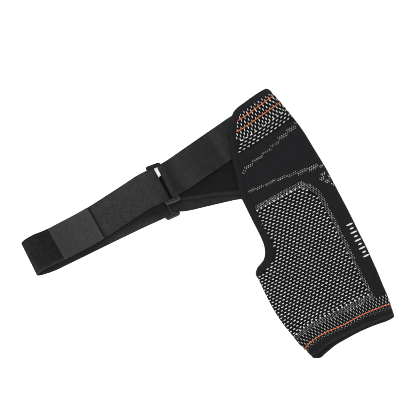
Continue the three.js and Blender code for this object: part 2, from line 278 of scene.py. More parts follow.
# %% The sleeve's sections
SLEEVE = np.array([  # y, left fold, right fold, crown height
    (-116, -61, 64, 20), (-100, -64, 67.8, 21), (-90, -67.2, 70, 22), (-80, -70.4, 71.8, 23),
    (-60, -73.8, 73.8, 25.5), (-40, -77, 76.2, 28), (-20, -78.5, 78, 29.5), (0, -78.2, 79.6, 30.5),
    (20, -77, 80.4, 31), (42, -75.4, 81.8, 31), (60, -74.4, 82.6, 30), (80, -72.5, 83.2, 28.5),
    (100, -69, 83.8, 27), (120, -65, 84.4, 25.5), (140, -60, 83.9, 24), (160, -55, 83.2, 22.5),
    (180, -49, 82.6, 21.5), (200, -42, 80.4, 20.5), (220, -34, 76.9, 19.5), (240, -25, 73.1, 18.5),
    (252, -19, 70, 18), (258, -16, 68.4, 17.6), (262, -14, 65, 17.2), (266, -12, 61, 17),
])
FOLD_SHARE = 0.42  # a fold's height as a share of the crown's
FLAT_FROM = 0.6  # the underside is flat where -sin(turn) is more than this
CROWN_POWER = 0.85
RIPPLE = 0.7  # height of the crown's slow ripple
MOUTH_LEAN = 0.17  # way towards the shoulder for each millimetre of height, at the cuff
MOUTH_FROM, MOUTH_FULL = 40, 95  # how far below y = 0 the lean starts, and is full
SOLE = 0.8  # height of the flat underside


def section(y):
    """Middle, half width and crown height of the tube at y."""
    left, right, height = (smooth_table(SLEEVE[:, 0], SLEEVE[:, k], y) for k in (1, 2, 3))
    return (left + right) / 2, (right - left) / 2, height


def mouth_lean(y):
    """How far a point moves towards the shoulder for each millimetre of height, near the cuff."""
    return MOUTH_LEAN * smooth_step(MOUTH_FROM, MOUTH_FULL, -y)


def skin_points(turn, y):
    """Points of the knit's outer face: x is the middle plus the half width times cos(turn). Above the
    folds z climbs from the fold to the crown with a power of sin(turn); below, it drops along a sine to
    the flat. A slow ripple keeps the crown from looking moulded, and the cuff's mouth leans back."""
    middle, half, height = section(y)
    sine = np.sin(turn)
    x = middle + half * np.cos(turn)
    fold = height * FOLD_SHARE
    over = fold + (height - fold) * np.maximum(sine, 0) ** CROWN_POWER
    under = fold * (1 - np.sin(np.minimum(1, np.maximum(-sine, 0) / FLAT_FROM) * math.pi / 2))
    ripple = RIPPLE * np.sin(x / 19 + y / 47) * np.sin(y / 29 - x / 53) * np.maximum(sine, 0)
    z = SOLE + np.where(sine >= 0, over + ripple, under) * (height - SOLE) / height
    return np.stack(np.broadcast_arrays(x, y + mouth_lean(y) * z, z), -1)


def skin(turn, y):
    """Point, direction across, direction along (towards the shoulder) and outward normal. The three
    directions are right-handed, so across points to +x on the front and to -x on the back."""
    turn, y = np.broadcast_arrays(np.asarray(turn, float), np.asarray(y, float))
    round_step = skin_points(turn + 2e-3, y) - skin_points(turn - 2e-3, y)
    along = unit(skin_points(turn, y + 0.1) - skin_points(turn, y - 0.1))
    normal = unit(np.cross(along, round_step))
    return skin_points(turn, y), unit(np.cross(along, normal)), along, normal


def front_at(x, y):
    """Turn and y of the front face's point that lies under plan position x, y."""
    x, y = np.broadcast_arrays(np.asarray(x, float), np.asarray(y, float))
    inner = y
    for _ in range(3):
        middle, half, _ = section(inner)
        turn = np.arccos(np.clip((x - middle) / half, -1, 1))
        inner = y - mouth_lean(inner) * skin_points(turn, inner)[..., 2]
    return turn, inner


def back_at(x, y):
    """Turn and y of the back face's point at plan position x, y."""
    middle, half, _ = section(y)
    return -np.arccos(np.clip((x - middle) / half, -1, 1)), y


print("crown at y = 0:", skin(np.pi / 2, 0.0)[0].round(2), "mm")

# %% [markdown]
# ## The cut edges
#
# The maker cuts the armhole and the cap's top as one curve, from the underarm to the right fold, and
# the cuff as another. Seen from above, both are smooth lines through a few measured points.

# %% Plan curves
ARMHOLE = np.array([  # x, y
    (-98, 33), (-85, 34.8), (-77.2, 38), (-73.6, 42.4), (-69.3, 45.6), (-63.2, 47.7), (-57, 50.2),
    (-49.8, 57.6), (-45.4, 68), (-43.4, 82), (-42.3, 105), (-40.9, 130), (-39.4, 150), (-33.5, 170),
    (-26.4, 195), (-19, 215.7), (-11.5, 233), (-2.5, 244), (6, 252), (9.4, 254.7), (14, 256.4),
    (30, 258.8), (50, 261), (64, 261.6), (82, 261), (100, 260),
])
CUFF = np.array([  # x, y
    (-96, -99.6), (-70, -102.6), (-62.5, -107), (-55, -110), (-44, -108.2), (-30, -105.5), (-8, -104.8),
    (12, -105.3), (35, -107.7), (55, -111.2), (65, -111.9), (80, -110.4), (100, -108.6),
])
UNDERARM_Y = 39.5
CORNER_X, CORNER_Y = 6, 252
CUFF_LEVEL = -104.8
ARMHOLE_POINTS = 6000
armhole_chord = steps_along(ARMHOLE)
armhole_at = np.linspace(0, armhole_chord[-1], ARMHOLE_POINTS)
armhole_line = np.stack([smooth_table(armhole_chord, column, armhole_at) for column in ARMHOLE.T], -1)
armhole_side = armhole_line[armhole_line[:, 0] <= CORNER_X]
cap_top = armhole_line[armhole_line[:, 0] > CORNER_X]


def edge_x(y):
    """x of the armhole's edge at y."""
    return np.interp(y, np.maximum.accumulate(armhole_side[:, 1]), armhole_side[:, 0])


def cap_y(x):
    """y of the cap's top edge at x, level to the left of its corner."""
    return np.interp(x, cap_top[:, 0], cap_top[:, 1])


def cuff_y(x):
    """y of the cuff's edge at x."""
    return smooth_table(CUFF[:, 0], CUFF[:, 1], x)


print("armhole edge at y = 100: x =", round(float(edge_x(100.0)), 1))

# %% [markdown]
# ## The patterned fields
#
# The knitter works a pale pattern into four fields. The main panel covers the arm, a rim of fine flecks
# edges it, a band of upright floats sits above the hem, and the cap has a band of its own. Each is an
# outline in plan. The ground needs the outlines first: inside them its colour is darkened as painted
# shade, for the shade that the pale floats cast on the black loops between them.

# %% Field outlines
PANEL = [
    (-34, 115), (-34, 62), (-36, 57), (-40, 51), (-45, 45), (-52, 40.5), (-60, 38), (-70, 35.5),
    (-90, 33), (-90, -61), (-68, -61.5), (-45, -57.5), (0, -60), (30, -61.5), (50, -64.5), (50.5, -30),
    (51.5, 0), (53, 50), (53.5, 96), (43, 111), (38, 115),
]
RIM = [
    (-31, 124), (-31, 115), (0, 60), (0, -40), (-90, -45), (-90, -69), (-68, -69.5), (-45, -65),
    (0, -69), (30, -70.5), (54.5, -73), (55, -30), (57.5, 0), (59.5, 50), (61, 101), (44.5, 123.8),
]
CUFF_BAND = [
    (-90, -71), (-68, -70.5), (-45, -65), (0, -69), (30, -70.5), (52, -73.5), (53, -71.5), (71, -74),
    (71, -93.5), (60, -90.6), (45, -88), (0, -85.5), (-38, -82), (-60, -85), (-90, -91),
]
CAP_BAND = [
    (-14, 199.5), (-13.6, 203), (-7.5, 213), (-6.5, 221.5), (-1.5, 230), (4, 238), (11, 246.5), (20, 249),
    (35, 250.6), (68, 254), (95, 254), (95, 207), (50, 202), (15, 199.5),
]
FIELD_SHADE = 0.35


def inside(outline, x, y):
    """Which plan points lie in a closed outline: a ray towards +x crosses its sides an odd number
    of times."""
    ax, ay = np.asarray(outline, float).T
    bx, by = np.roll(ax, -1), np.roll(ay, -1)
    x, y = np.asarray(x)[..., None], np.asarray(y)[..., None]
    spans = (ay > y) != (by > y)
    cross = ax + (y - ay) * (bx - ax) / np.where(by == ay, 1e-9, by - ay)
    return np.sum(spans & (cross > x), -1) % 2 == 1


# %% [markdown]
# ## The knit ground
#
# The ground is one sheet. Below the underarm each row of it closes into a ring; above, each row runs
# from the front cut edge round the right fold to the back cut edge. So the grid's columns are shares of
# that way, and its first and last columns are welded where the row is closed. Its rows bend to follow
# the cap's top and the cuff. The sheet is given its thickness by Solidify, towards the inside.

# %% Knit ground
KNIT_WALL = 2.2
UNDER_BINDING = 2.0  # how far inside the bound edges the knit stops
CAP_BENDS_FROM, CUFF_BENDS_FROM = 200, -60  # y where the rows start to follow the cap's top and the cuff
GROUND_ROWS, GROUND_HALF = 150, 96


def ground_grid(rows, half):
    """Turn and y of each grid point, and which rows are closed. A row's turn goes from its end turn on
    the front, through 0 at the right fold, to the same turn underneath."""
    level = np.linspace(CUFF_LEVEL + UNDER_BINDING, CORNER_Y - UNDER_BINDING, rows)[:, None]
    middle, half_width, _ = section(level)
    open_end = np.arccos(np.clip((edge_x(level) + UNDER_BINDING - middle) / half_width, -1, 1))
    closed = level <= UNDERARM_Y - UNDER_BINDING
    turn = np.where(closed, np.pi, open_end) * np.linspace(1, -1, 2 * half + 1)
    to_top = smooth_step(CAP_BENDS_FROM, level[-1], level)
    to_cuff = smooth_step(CUFF_BENDS_FROM, level[0], level)
    y = level + 0 * turn
    for _ in range(4):
        middle, half_width, _ = section(y)
        x = middle + half_width * np.cos(turn)
        y = level + to_top * (cap_y(x) - CORNER_Y) + to_cuff * (cuff_y(x) - CUFF_LEVEL)
    return turn, y, closed[:, 0]


ground_turn, ground_y, ground_closed = ground_grid(GROUND_ROWS, GROUND_HALF)
ground_points = skin_points(ground_turn, ground_y)
ground_way = np.cumsum(np.linalg.norm(np.diff(ground_points, axis=1), axis=-1), axis=1)
ground_way = np.pad(ground_way, ((0, 0), (1, 0)))
ground_way -= ground_way[:, [GROUND_HALF]]
ground_weld = np.arange(ground_turn.size).reshape(ground_turn.shape)
ground_weld[ground_closed, -1] = ground_weld[ground_closed, 0]
ground_faces, ground_uv = grid_faces(ground_turn.shape, uv=np.stack([ground_way, ground_y], -1))
ground_faces = ground_weld.ravel()[ground_faces]
# painted shade: the ground is darker inside the fields, where the floats shade the loops between them
in_fields = [inside(field, *ground_points[..., :2].T).T for field in (PANEL, RIM, CUFF_BAND, CAP_BAND)]
ground_shade = np.where(np.any(in_fields, axis=0), FIELD_SHADE, 1.0)
knit_ground = make_piece("knit_ground", ground_points, [ground_faces], ground_uv, ground_shade)
wall = knit_ground.modifiers.new("wall", "SOLIDIFY")
wall.thickness = KNIT_WALL * MM
wall.offset = -1
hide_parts("knit_sleeve")

# %% [markdown]
# The ground is a fine black jersey. Its loops stand in wales, columns of small Vs that run along the
# arm. A tent wave across the wales bends the courses into Vs, and the grooves between wales are darker.

# %% Knit finish
WALE, COURSE = 1.5, 1.15
knit_tone = tone(0.0145, 0.0145, 0.0165)
knit_black = Finish("knit_black", roughness=0.9, shine=0.15)
round_mm, along_mm = knit_black.cloth_mm()
wale = round_mm.tent(WALE)
loop = (along_mm + wale * (COURSE / 2)).wave(COURSE)
stitch = wale**0.6 * (0.5 + 0.5 * loop)
knit_black.dress(stitch, 0.3, knit_tone, even=0.28, woven=0.468, mottled=0.252, grain=3)
knit_black.put_on(knit_ground)

# %% [markdown]
# ## The edge binding
#
# The cut edge of the armhole and cap is wrapped in a folded tape. A tape that is sewn round an edge is a
# profile carried along a path: out over the knit's face, round the edge, and back inside. The path is a
# closed loop: along the front edge from the underarm to the right fold, and home along the back edge.
# Where the loop goes over a fold, its crosslines lie along the fold, so the two halves meet.

# %% Binding loop
BINDING_STEP = 2.2
FOLD_EASE = 12.0
BINDING_PROFILE = np.array([  # way in from the edge, height over the knit's outer face
    (-0.3, -1.3), (-0.15, -0.2), (0.5, 0.5), (1.6, 0.75), (3.4, 0.7), (5.4, 0.75), (7.6, 0.75),
    (9.2, 0.7), (10.1, 0.45), (10.4, -0.1), (10.4, -2.2), (9.6, -2.9), (5.2, -3.0), (1.6, -2.9),
    (0.4, -2.4),
])


def running_mean(values, reach=90):
    """Each value's mean over its neighbours, so that crosslines fan out round a corner."""
    padded = np.pad(values, reach, mode="edge")
    return np.convolve(padded, np.full(2 * reach + 1, 1 / (2 * reach + 1)), "valid")


def edge_band(way_in):
    """Front-face turn and y for points that lie way_in from the armhole's edge, with the way along it.
    The edge is walked in even steps of its true length; way_in is measured square to it in plan. At
    the two folds the turn of the whole crossline eases to the turn of its edge point."""
    middle, half, _ = section(armhole_line[:, 1])
    line = armhole_line[np.abs(armhole_line[:, 0] - middle) < half]
    ahead = unit(np.gradient(line, axis=0))
    inward = unit(np.stack([running_mean(ahead[:, 1]), -running_mean(ahead[:, 0])], -1))
    way = steps_along(skin_points(*front_at(line[:, 0], line[:, 1])))
    at = np.linspace(0, way[-1], int(way[-1] / BINDING_STEP))
    x, y, in_x, in_y = read_rows(np.c_[line, inward], way, at).T
    place_x = x[:, None] + in_x[:, None] * way_in
    place_y = y[:, None] + in_y[:, None] * way_in
    turn = front_at(place_x, place_y)[0]
    at_edge = front_at(x, y)[0][:, None]
    near_fold = 1 - smooth_step(0, FOLD_EASE, np.minimum(at, way[-1] - at))[:, None]
    at_edge[0] = np.pi
    at_edge[-1] = 0
    return turn + near_fold * (at_edge - turn), place_y, at


def on_skin(turn, y, height):
    """Points that stand height off the knit's outer face."""
    point, _, _, normal = skin(turn, y)
    return point + np.asarray(height)[..., None] * normal


def loop_uv(points):
    """Texture points of a grid that is closed both ways: mm along its rows' loop and round its profile."""
    around = steps_along(np.concatenate([points[:, 0], points[:1, 0]]))
    section_way = steps_along(np.concatenate([points[0], points[0, :1]]))
    return np.stack(np.meshgrid(around, section_way, indexing="ij"), -1)


binding_turn, binding_y, binding_way = edge_band(BINDING_PROFILE[:, 0])
binding_front, binding_back = (
    on_skin(side * binding_turn, binding_y, BINDING_PROFILE[:, 1]) for side in (1, -1)
)
binding_points = np.concatenate([binding_front, binding_back[-2:0:-1]])
binding_faces, binding_uv = grid_faces(binding_points.shape[:2], True, True, loop_uv(binding_points))
# painted shade: the tape is darker along the armhole's side and lighter towards the cap's top
binding_shade = 0.72 + 0.44 * smooth_step(225, 252, binding_points[..., 1])
edge_binding = make_piece("armhole_binding", binding_points, [binding_faces], binding_uv, binding_shade)
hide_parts("edge_binding")
print("binding is", round(2 * float(binding_way[-1])), "mm long")

# %% [markdown]
# The tape is a stretch braid with a trace of blue in its black. Fine ribs cross it, and it takes the
# light a little more than the knit does.

# %% Binding finish
tape_tone = tone(0.0104, 0.0102, 0.0135)
binding_tape = Finish("binding_tape", roughness=0.75, shine=0.2)
along_mm, across_mm = binding_tape.cloth_mm()
rib = (along_mm + across_mm * 0.25).wave(1.3)
braid = rib * 0.7 + across_mm.wave(0.9) * 0.3
binding_tape.dress(braid, 0.28, tape_tone, even=0.25, woven=0.5, mottled=0.25, grain=4)
binding_tape.put_on(edge_binding)

# %% [markdown]
# ## The cuff's hem
#
# The hem is the knit turned back on itself, so it is thicker than the ground. It is one closed ring with
# a closed profile: up the outside, over the sewn edge, and down the inside. A soft roll runs round it,
# where the turned edge lies inside. The roll carries a painted highlight, a painted shadow below it on the
# left reads as a dark crease, and the inside of the ring is painted darker, as shade.

# %% Hem ring
HEM_SIDES = 170
HEM_PROFILE = np.array([  # way up from the cuff's edge, height over the knit's outer face
    (0.2, -2.2), (0.0, -1.2), (0.3, -0.1), (1.0, 0.4), (1.9, 0.55), (2.8, 0.6), (3.7, 0.6), (4.6, 0.6),
    (5.5, 0.6), (6.4, 0.6), (7.3, 0.6), (8.2, 0.6), (9.4, 0.65), (10.8, 0.65), (12.4, 0.55), (13.2, 0.1),
    (13.3, -2.4), (12.2, -2.9), (7.0, -3.0), (1.4, -2.8),
])
HEM_ROLL = (
    np.array([(-70, 7.6), (-45, 7.6), (-19, 6.0), (3, 4.3), (70, 4.6)]),  # x, the roll's way up
    # the roll's painted highlight, by x
    np.array([(-70, 0.6), (-45, 0.6), (-25, 1.0), (70, 1.0)]),  # x, how light the roll is
    # the painted shadow below the roll, which reads as a dark crease, by x
    np.array([(-70, 0.5), (-40, 0.5), (-19, 0.28), (5, 0.0), (70, 0.0)]),  # x, how dark the crease is
)
ROLL_RISE, ROLL_SPREAD = 0.3, 1.7
SHADOW_BELOW, SHADOW_SPREAD = 3.1, 1.4
hem_turn = np.linspace(-np.pi, np.pi, HEM_SIDES, endpoint=False)
hem_edge = np.full(HEM_SIDES, CUFF_LEVEL)
for _ in range(4):
    hem_middle, hem_half, _ = section(hem_edge)
    hem_edge = cuff_y(hem_middle + hem_half * np.cos(hem_turn))
hem_way, hem_height = HEM_PROFILE.T
hem_x = hem_middle + hem_half * np.cos(hem_turn)
roll_way, roll_highlight, shadow_depth = (np.interp(hem_x, *table.T)[:, None] for table in HEM_ROLL)
from_roll = hem_way - roll_way
on_face = hem_height > 0
hem_roll = on_face * bell(from_roll, ROLL_SPREAD)
hem_painted_shadow = on_face * shadow_depth * bell(from_roll + SHADOW_BELOW, SHADOW_SPREAD)
hem_height = hem_height + ROLL_RISE * hem_roll
hem_points = on_skin(hem_turn[:, None], hem_edge[:, None] + hem_way, hem_height)
hem_faces, hem_uv = grid_faces(hem_points.shape[:2], True, True, loop_uv(hem_points))
# painted light and shade: darker on the inside, a painted highlight on the roll, a painted shadow below it
hem_shade = np.where(hem_height > -1, 0.82, 0.45) + roll_highlight * hem_roll - hem_painted_shadow
cuff_hem = make_piece("turned_hem", hem_points, [hem_faces], hem_uv, hem_shade)
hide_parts("cuff_hem")

hem_tone = tone(0.0262, 0.0257, 0.0297)
hem_knit = Finish("hem_knit", roughness=0.88, shine=0.15)
around_mm, up_mm = hem_knit.cloth_mm()
hem_rib = around_mm.wave(1.7) * 0.8 + up_mm.wave(1.1) * 0.2
hem_knit.dress(hem_rib, 0.35, hem_tone, even=0.18, woven=0.24, mottled=0.18, grain=4)
hem_knit.put_on(cuff_hem)

# %% [markdown]
# ## Floats of pale yarn
#
# The pattern is knitted in: here and there a pale yarn floats over the black face and shows as a small
# raised oval. There are some thousands, so they are one mesh from arrays. Each float is a low dome of 25
# faces, set on the knit by the skin's own three directions. A list of floats is an array with a row for
# each: plan x and y, length, width, rise, the turn of its long axis in degrees, and how pale it is.

# %% Domes on the knit
DOME_SIDES = 8
DOME_RINGS = np.array([(1.0, -0.5), (0.93, 0.35), (0.58, 0.85)])  # share of the ellipse, of the rise


def dome_mesh(place, first, second, normal, length, width, rise):
    """Points, faces and texture points of many domes: three rings, each a share of the ellipse at a share
    of the rise, and a point on top; the lowest ring lies under the cloth and is closed by one face."""
    ring = 2 * np.pi * np.arange(DOME_SIDES) / DOME_SIDES
    reach = DOME_RINGS[:, :1]
    u = np.r_[(reach * np.cos(ring)).ravel(), 0]
    v = np.r_[(reach * np.sin(ring)).ravel(), 0]
    w = np.r_[np.repeat(DOME_RINGS[:, 1], DOME_SIDES), 1]
    long_way = (length / 2)[:, None] * u
    short_way = (width / 2)[:, None] * v
    high = rise[:, None] * w
    points = place[:, None] + long_way[..., None] * first[:, None] + short_way[..., None] * second[:, None]
    points = points + high[..., None] * normal[:, None]
    walls, _ = grid_faces((len(DOME_RINGS), DOME_SIDES), close_columns=True)
    last = np.arange(DOME_SIDES) + (len(DOME_RINGS) - 1) * DOME_SIDES
    top = np.stack([last, np.roll(last, -1), np.full(DOME_SIDES, len(u) - 1)], -1)
    base = np.arange(DOME_SIDES)[None, ::-1]
    shift = (np.arange(len(place)) * len(u))[:, None, None]
    faces = [(group + shift).reshape(-1, group.shape[1]) for group in (walls, top, base)]
    corner_uv = np.stack([long_way, short_way], -1).reshape(-1, 2)
    uv = np.concatenate([corner_uv[group.ravel()] for group in faces])
    return points, faces, uv


def dome_piece(name, floats, place_at):
    """One piece of domes from an array of floats; place_at finds the turn and y under a plan position."""
    x, y, length, width, rise, angle, shade = floats.T
    point, across, along, normal = skin(*place_at(x, y))
    swing = np.radians(angle)[:, None]
    first = np.cos(swing) * across + np.sin(swing) * along
    second = np.cos(swing) * along - np.sin(swing) * across
    points, faces, uv = dome_mesh(point, first, second, normal, length, width, rise)
    return make_piece(name, points, faces, uv, np.repeat(shade, points.shape[1]))


def floats_at(x, y, length, width, rise, angle, shade):
    """Rows of the array of floats; any column may be one number for all."""
    columns = [np.asarray(column, float) for column in (x, y, length, width, rise, angle, shade)]
    return np.stack(np.broadcast_arrays(*columns), -1).reshape(-1, 7)


# %% [markdown]
# ## How the courses run
#
# The floats stand in knitted courses. The pitch round the tube is even along the cloth, not in plan, so
# each course is walked from fold to fold. Where the sleeve narrows to the cuff its courses sag at both
# sides, and over the cap they climb to the right, which two small tables and a power give. The wales of
# the main panel bow a little to the right at mid arm, and its courses lie closer together near the cap.

# %% Courses
FOLD_MARGIN = 1.6
WALK_POINTS, WALK_END = 500, 0.004  # points that a course is walked by, and its turn short of each fold
CAP_LEFT, CAP_WIDTH = -12, 89
CAP_CLIMB, CLIMB_POWER = 7.5, 1.7
CLIMB_SLOPE = 0.143  # slope of the climb at the cap's right side
UPPER_BEND = np.array([  # x, way along the arm
    (-90, 0), (-20, 0), (0, 0), (24, -0.8), (44, -2.1), (52, -2.7), (80, -4.6),
])
CUFF_BEND = np.array([
    (-78, -7), (-68, -4), (-60, 0.5), (-50, 2.5), (-38, 3.4), (-28, 3.1), (-15, 1.5), (0, 0), (20, 0.2),
    (30, -0.6), (45, -2.7), (60, -5.2), (70, -7.7), (90, -12),
])


def course_bend(level, x):
    """How far a course that crosses x = 0 at this level is moved along the arm at x."""
    to_cuff = smooth_step(15, 84, -level)
    upper = np.interp(x, *UPPER_BEND.T) * (1 - 0.5 * smooth_step(90, 112, level))
    return upper + to_cuff * (np.interp(x, *CUFF_BEND.T) - upper)


def cap_share(x):
    """Share of the way across the cap, 0 to the left of it."""
    return np.maximum((x - CAP_LEFT) / CAP_WIDTH, 0)


def cap_bend(level, x):
    """The same for the courses of the cap, which climb to the right whatever their level: a power of
    the share of the way across the cap."""
    return CAP_CLIMB * cap_share(x) ** CLIMB_POWER


def walk_course(level, pitch, shift):
    """Plan x of points at even steps along the cloth, from fold to fold; x = 0 is at minus shift steps."""
    turn = np.linspace(np.pi - WALK_END, WALK_END, WALK_POINTS)
    points = skin_points(turn, np.full(WALK_POINTS, float(level)))
    way = steps_along(points)
    margin = np.array([way[0] + FOLD_MARGIN, way[-1] - FOLD_MARGIN])
    start = np.interp(0.0, points[:, 0], way)
    first, last = (margin - start) / pitch - shift
    return np.interp((np.arange(math.ceil(first), last) + shift) * pitch + start, way, points[:, 0])


def lattice(levels, pitch, shift, bend=course_bend):
    """Plan x, y and level of a field of floats: courses at these levels, every other one moved half a
    pitch. The pitch, and the shift in pitches, are one number or one for each course."""
    odd = np.arange(len(levels)) % 2
    table = np.broadcast_arrays(levels, pitch, shift + 0.5 * odd)
    courses = [walk_course(*row) for row in zip(*table)]
    x = np.concatenate(courses)
    level = np.repeat(levels, [len(course) for course in courses])
    return x, level + bend(level, x), level


WALE_BOW = np.array([  # level, way to the right
    (-60, 0.1), (-16, 1.3), (20, 2.5), (41, 3.0), (61, 2.3), (81, 1.4), (112, -0.2),
])
course = np.arange(43)
panel_levels = 112.3 - 3.82 * course - 0.0049 * course**2
panel_levels = panel_levels + 0.45 * bell(panel_levels - 78, 18)
panel_pitch = 6.45 + 0.47 * smooth_step(45, 108, panel_levels)
panel_x, panel_y, _ = lattice(panel_levels, panel_pitch, np.interp(panel_levels, *WALE_BOW.T) / panel_pitch)
print("courses of the main panel carry", len(panel_x), "steps")

# %% [markdown]
# ## Floats in their fields
#
# Each field's outline keeps some of a lattice's points. At the top and the foot of the main panel the yarn
# turns back in short upright floats, and a fringe of fainter ones hangs below the band above the hem. Two
# thin orange lines cross the cap's band and one runs above the hem; floats beside them lie lower, so the
# orange yarn covers them.

# %% Lines through the fields
CAP_LINES = [
    np.array([(8, 241), (20, 241.2), (30, 242.3), (40, 243.7), (55, 245.5), (72, 247.3)]),
    np.array([(-1, 228), (10, 228), (20, 228.5), (30, 229.8), (45, 231.5), (60, 232.7), (75, 234.2)]),
]
CUFF_LINE = np.array([
    (-70, -89), (-68, -87.5), (-60, -83), (-50, -81), (-38, -80), (-28, -80.2), (-15, -82), (0, -83.3),
    (20, -83.4), (30, -84.1), (45, -85.9), (60, -88.3), (70.5, -91.3),
])
SWING = 4  # spread of the floats' turns, in degrees
random = np.random.default_rng(41)


def keep(outline, x, y):
    """The points of a lattice that lie in an outline."""
    chosen = inside(outline, x, y)
    return x[chosen], y[chosen]


def by_line(x, y, lines, reach):
    """Which points lie within reach of one of these lines, measured along the arm."""
    gaps = [np.abs(y - np.interp(x, *line.T, left=1e3, right=1e3)) for line in lines]
    return np.min(gaps, axis=0) < reach


def pale(x, mean, spread=0.14):
    """How pale each float is, a little different from one to the next."""
    return mean * (1 + spread * random.standard_normal(len(x))).clip(0.4, 1.6)


# %% Main panel and its rim
MAIN_LENGTH, MAIN_WIDTH, MAIN_RISE = 4.2, 1.64, 0.8
RIM_SIZE = (1.9, 1.0, 0.4)  # length, width, rise
TURNING_SIZE = (3.1, 2.4, 0.7)
x, y = keep(PANEL, panel_x, panel_y)
main_length = random.normal(MAIN_LENGTH, 0.15, len(x))
main_swing = random.normal(0, SWING, len(x))
main_floats = floats_at(x, y, main_length, MAIN_WIDTH, MAIN_RISE, main_swing, pale(x, 1.0))

fine_x, fine_y, _ = lattice(123.0 - 2.05 * np.arange(98), pitch=2.45, shift=0.2)
in_rim = inside(RIM, fine_x, fine_y) & ~inside(PANEL, fine_x, fine_y)
x, y = fine_x[in_rim], fine_y[in_rim]
rim_shade = np.where(y > 112, 0.55, np.where(y < -55, 0.46, 0.43)) * pale(x, 1.0, 0.45)
rim_floats = floats_at(x, y, *RIM_SIZE, 35 * (-1.0) ** np.arange(len(x)), rim_shade)

x, y, level = lattice(np.array([117.0, -60.2]), pitch=6.8, shift=0.55)
in_field = np.where(level > 0, (x > -31) & (x < 41), x < 49)
x, y = x[in_field], y[in_field]
turning_floats = floats_at(x, y, *TURNING_SIZE, 90, pale(x, np.where(y > 0, 0.97, 1.05)))
print("floats of the main panel:", len(main_floats), "and of its rim:", len(rim_floats))

# %% Band above the hem
CUFF_LENGTH, CUFF_WIDTH = 4.5, 1.2
CUFF_COVERED, CUFF_OPEN = [[0.25], [0.48]], [[0.65], [0.67]]  # rise and shade by the line, and away
CUFF_WALE_LEAN = 0.21  # of the wales on the left of the band
FRINGE_SIZE = (2.3, 1.4, 0.5)
x, y, level = lattice(-70.3 - 4.15 * np.arange(4), pitch=5.0, shift=0.1)
x = x - CUFF_WALE_LEAN * (level + 76.5) * (1 - smooth_step(-48, -24, x))
x, y = keep(CUFF_BAND, x, y)
cuff_rise, cuff_shade = np.where(by_line(x, y, [CUFF_LINE], reach=2.6), CUFF_COVERED, CUFF_OPEN)
cuff_swing = random.normal(98, SWING, len(x))
cuff_floats = floats_at(x, y, CUFF_LENGTH, CUFF_WIDTH, cuff_rise, cuff_swing, pale(x, cuff_shade))

x, y, level = lattice(np.array([-86.2, -88.3, -90.3]), pitch=5.0, shift=0.6)
in_fringe = (level > -90) | (x > 42)
x, y, level = x[in_fringe], y[in_fringe], level[in_fringe]
fringe_shade = pale(x, np.where(level > -88, 0.38, 0.24), 0.35) * (1 - 0.25 * smooth_step(25, 45, x))
fringe_floats = floats_at(x, y, *FRINGE_SIZE, random.normal(95, 10, len(x)), fringe_shade)
print("floats above the hem:", len(cuff_floats), "and of its fringe:", len(fringe_floats))

# %% Cap's band
CAP_LOW_SIZE = (4.9, 1.65, 0.7)
CAP_LOW_SWING = 4  # degrees from the course
UPRIGHT_LENGTH, UPRIGHT_WIDTH = 4.5, 1.42
CAP_COVERED, CAP_OPEN = [[0.3], [0.6]], [[0.7], [1.1]]  # rise and shade by a line, and away
x, y, _ = lattice(201.4 + 4.0 * np.arange(4), pitch=7.6, shift=0.51, bend=cap_bend)
x, y = keep(CAP_BAND, x, y)
slope = CAP_LOW_SWING + np.degrees(np.arctan(CLIMB_SLOPE * cap_share(x) ** (CLIMB_POWER - 1)))
cap_low_floats = floats_at(x, y, *CAP_LOW_SIZE, slope, pale(x, 0.9))

CAP_UPRIGHT = np.array([215.9, 219.9, 224.1, 228.9, 233.3, 237.8, 242.6, 246.2])
course = np.arange(len(CAP_UPRIGHT))
upright_shift = 0.72 - 0.02 * course + 0.5 * (course > 5)
x, y, _ = lattice(CAP_UPRIGHT, pitch=6.18, shift=upright_shift, bend=cap_bend)
x, y = keep(CAP_BAND, x, y)
cap_rise, cap_shade = np.where(by_line(x, y, CAP_LINES, reach=2.3), CAP_COVERED, CAP_OPEN)
cap_shade = pale(x, cap_shade) * (1 - 0.45 * smooth_step(63, 75, x))
cap_swing = random.normal(94, SWING, len(x))
cap_floats = floats_at(x, y, UPRIGHT_LENGTH, UPRIGHT_WIDTH, cap_rise, cap_swing, cap_shade)
arm_floats = [main_floats, rim_floats, turning_floats, cuff_floats, fringe_floats]
both_faces = np.concatenate([*arm_floats, cap_low_floats, cap_floats])
print("floats on each face:", len(both_faces))

# %% [markdown]
# ## Stepped lines and flecks
#
# Two speckled lines cross the plain part of the cap. Each is a stair: the line runs level for about ten
# wales, then jumps. Some short stairs trail down by the right fold. A row of the table is one tread, from
# x to x, with its y, its height and its paleness, and carries two or three courses of small upright
# flecks. A ladder of short bars marks the plain side strip. The yarn's finish has fine strands that wind
# along each float, and the orange yarn shares it.

# %% Stepped lines
TREADS = [  # from x, to x, y, height, how pale
    (-23, -19.5, 172.6, 1.7, 0.75), (-19.5, -16.5, 174.6, 1.7, 0.6), (-16.5, -2.5, 177.1, 1.7, 0.5),
    (-2.5, 14.5, 180.1, 1.5, 0.35), (14.5, 30.5, 183.1, 1.3, 0.27), (30.5, 45, 186, 1.3, 0.26),
    (45, 60.5, 190.3, 3.6, 0.33), (60.5, 76, 193.6, 3.9, 0.36), (76, 80.5, 198, 2.0, 0.3),
    (-28.5, -17.5, 145.7, 2.0, 0.45), (-17.5, -4.5, 143.7, 1.4, 0.41), (-3, 14.5, 142.2, 1.9, 0.44),
    (14.5, 30.5, 139.9, 1.6, 0.53), (30.5, 44, 137.2, 1.9, 0.34), (44, 60, 133.7, 3.4, 0.35),
    (60.5, 75.5, 131.3, 4.0, 0.53), (76, 84, 127.2, 1.9, 0.53), (72.5, 81, 116.2, 1.8, 0.68),
    (68, 76, 111, 2.4, 0.86), (73, 80.5, 104.4, 2.5, 0.95), (80.5, 84, 109, 2.4, 1.0),
    (79.5, 84, 96.6, 2.8, 1.4),
]
TREAD_PITCH = 3.1
HIGH_TREAD = 3.0
FLECK_SIZE = (2.1, 1.3, 0.45)


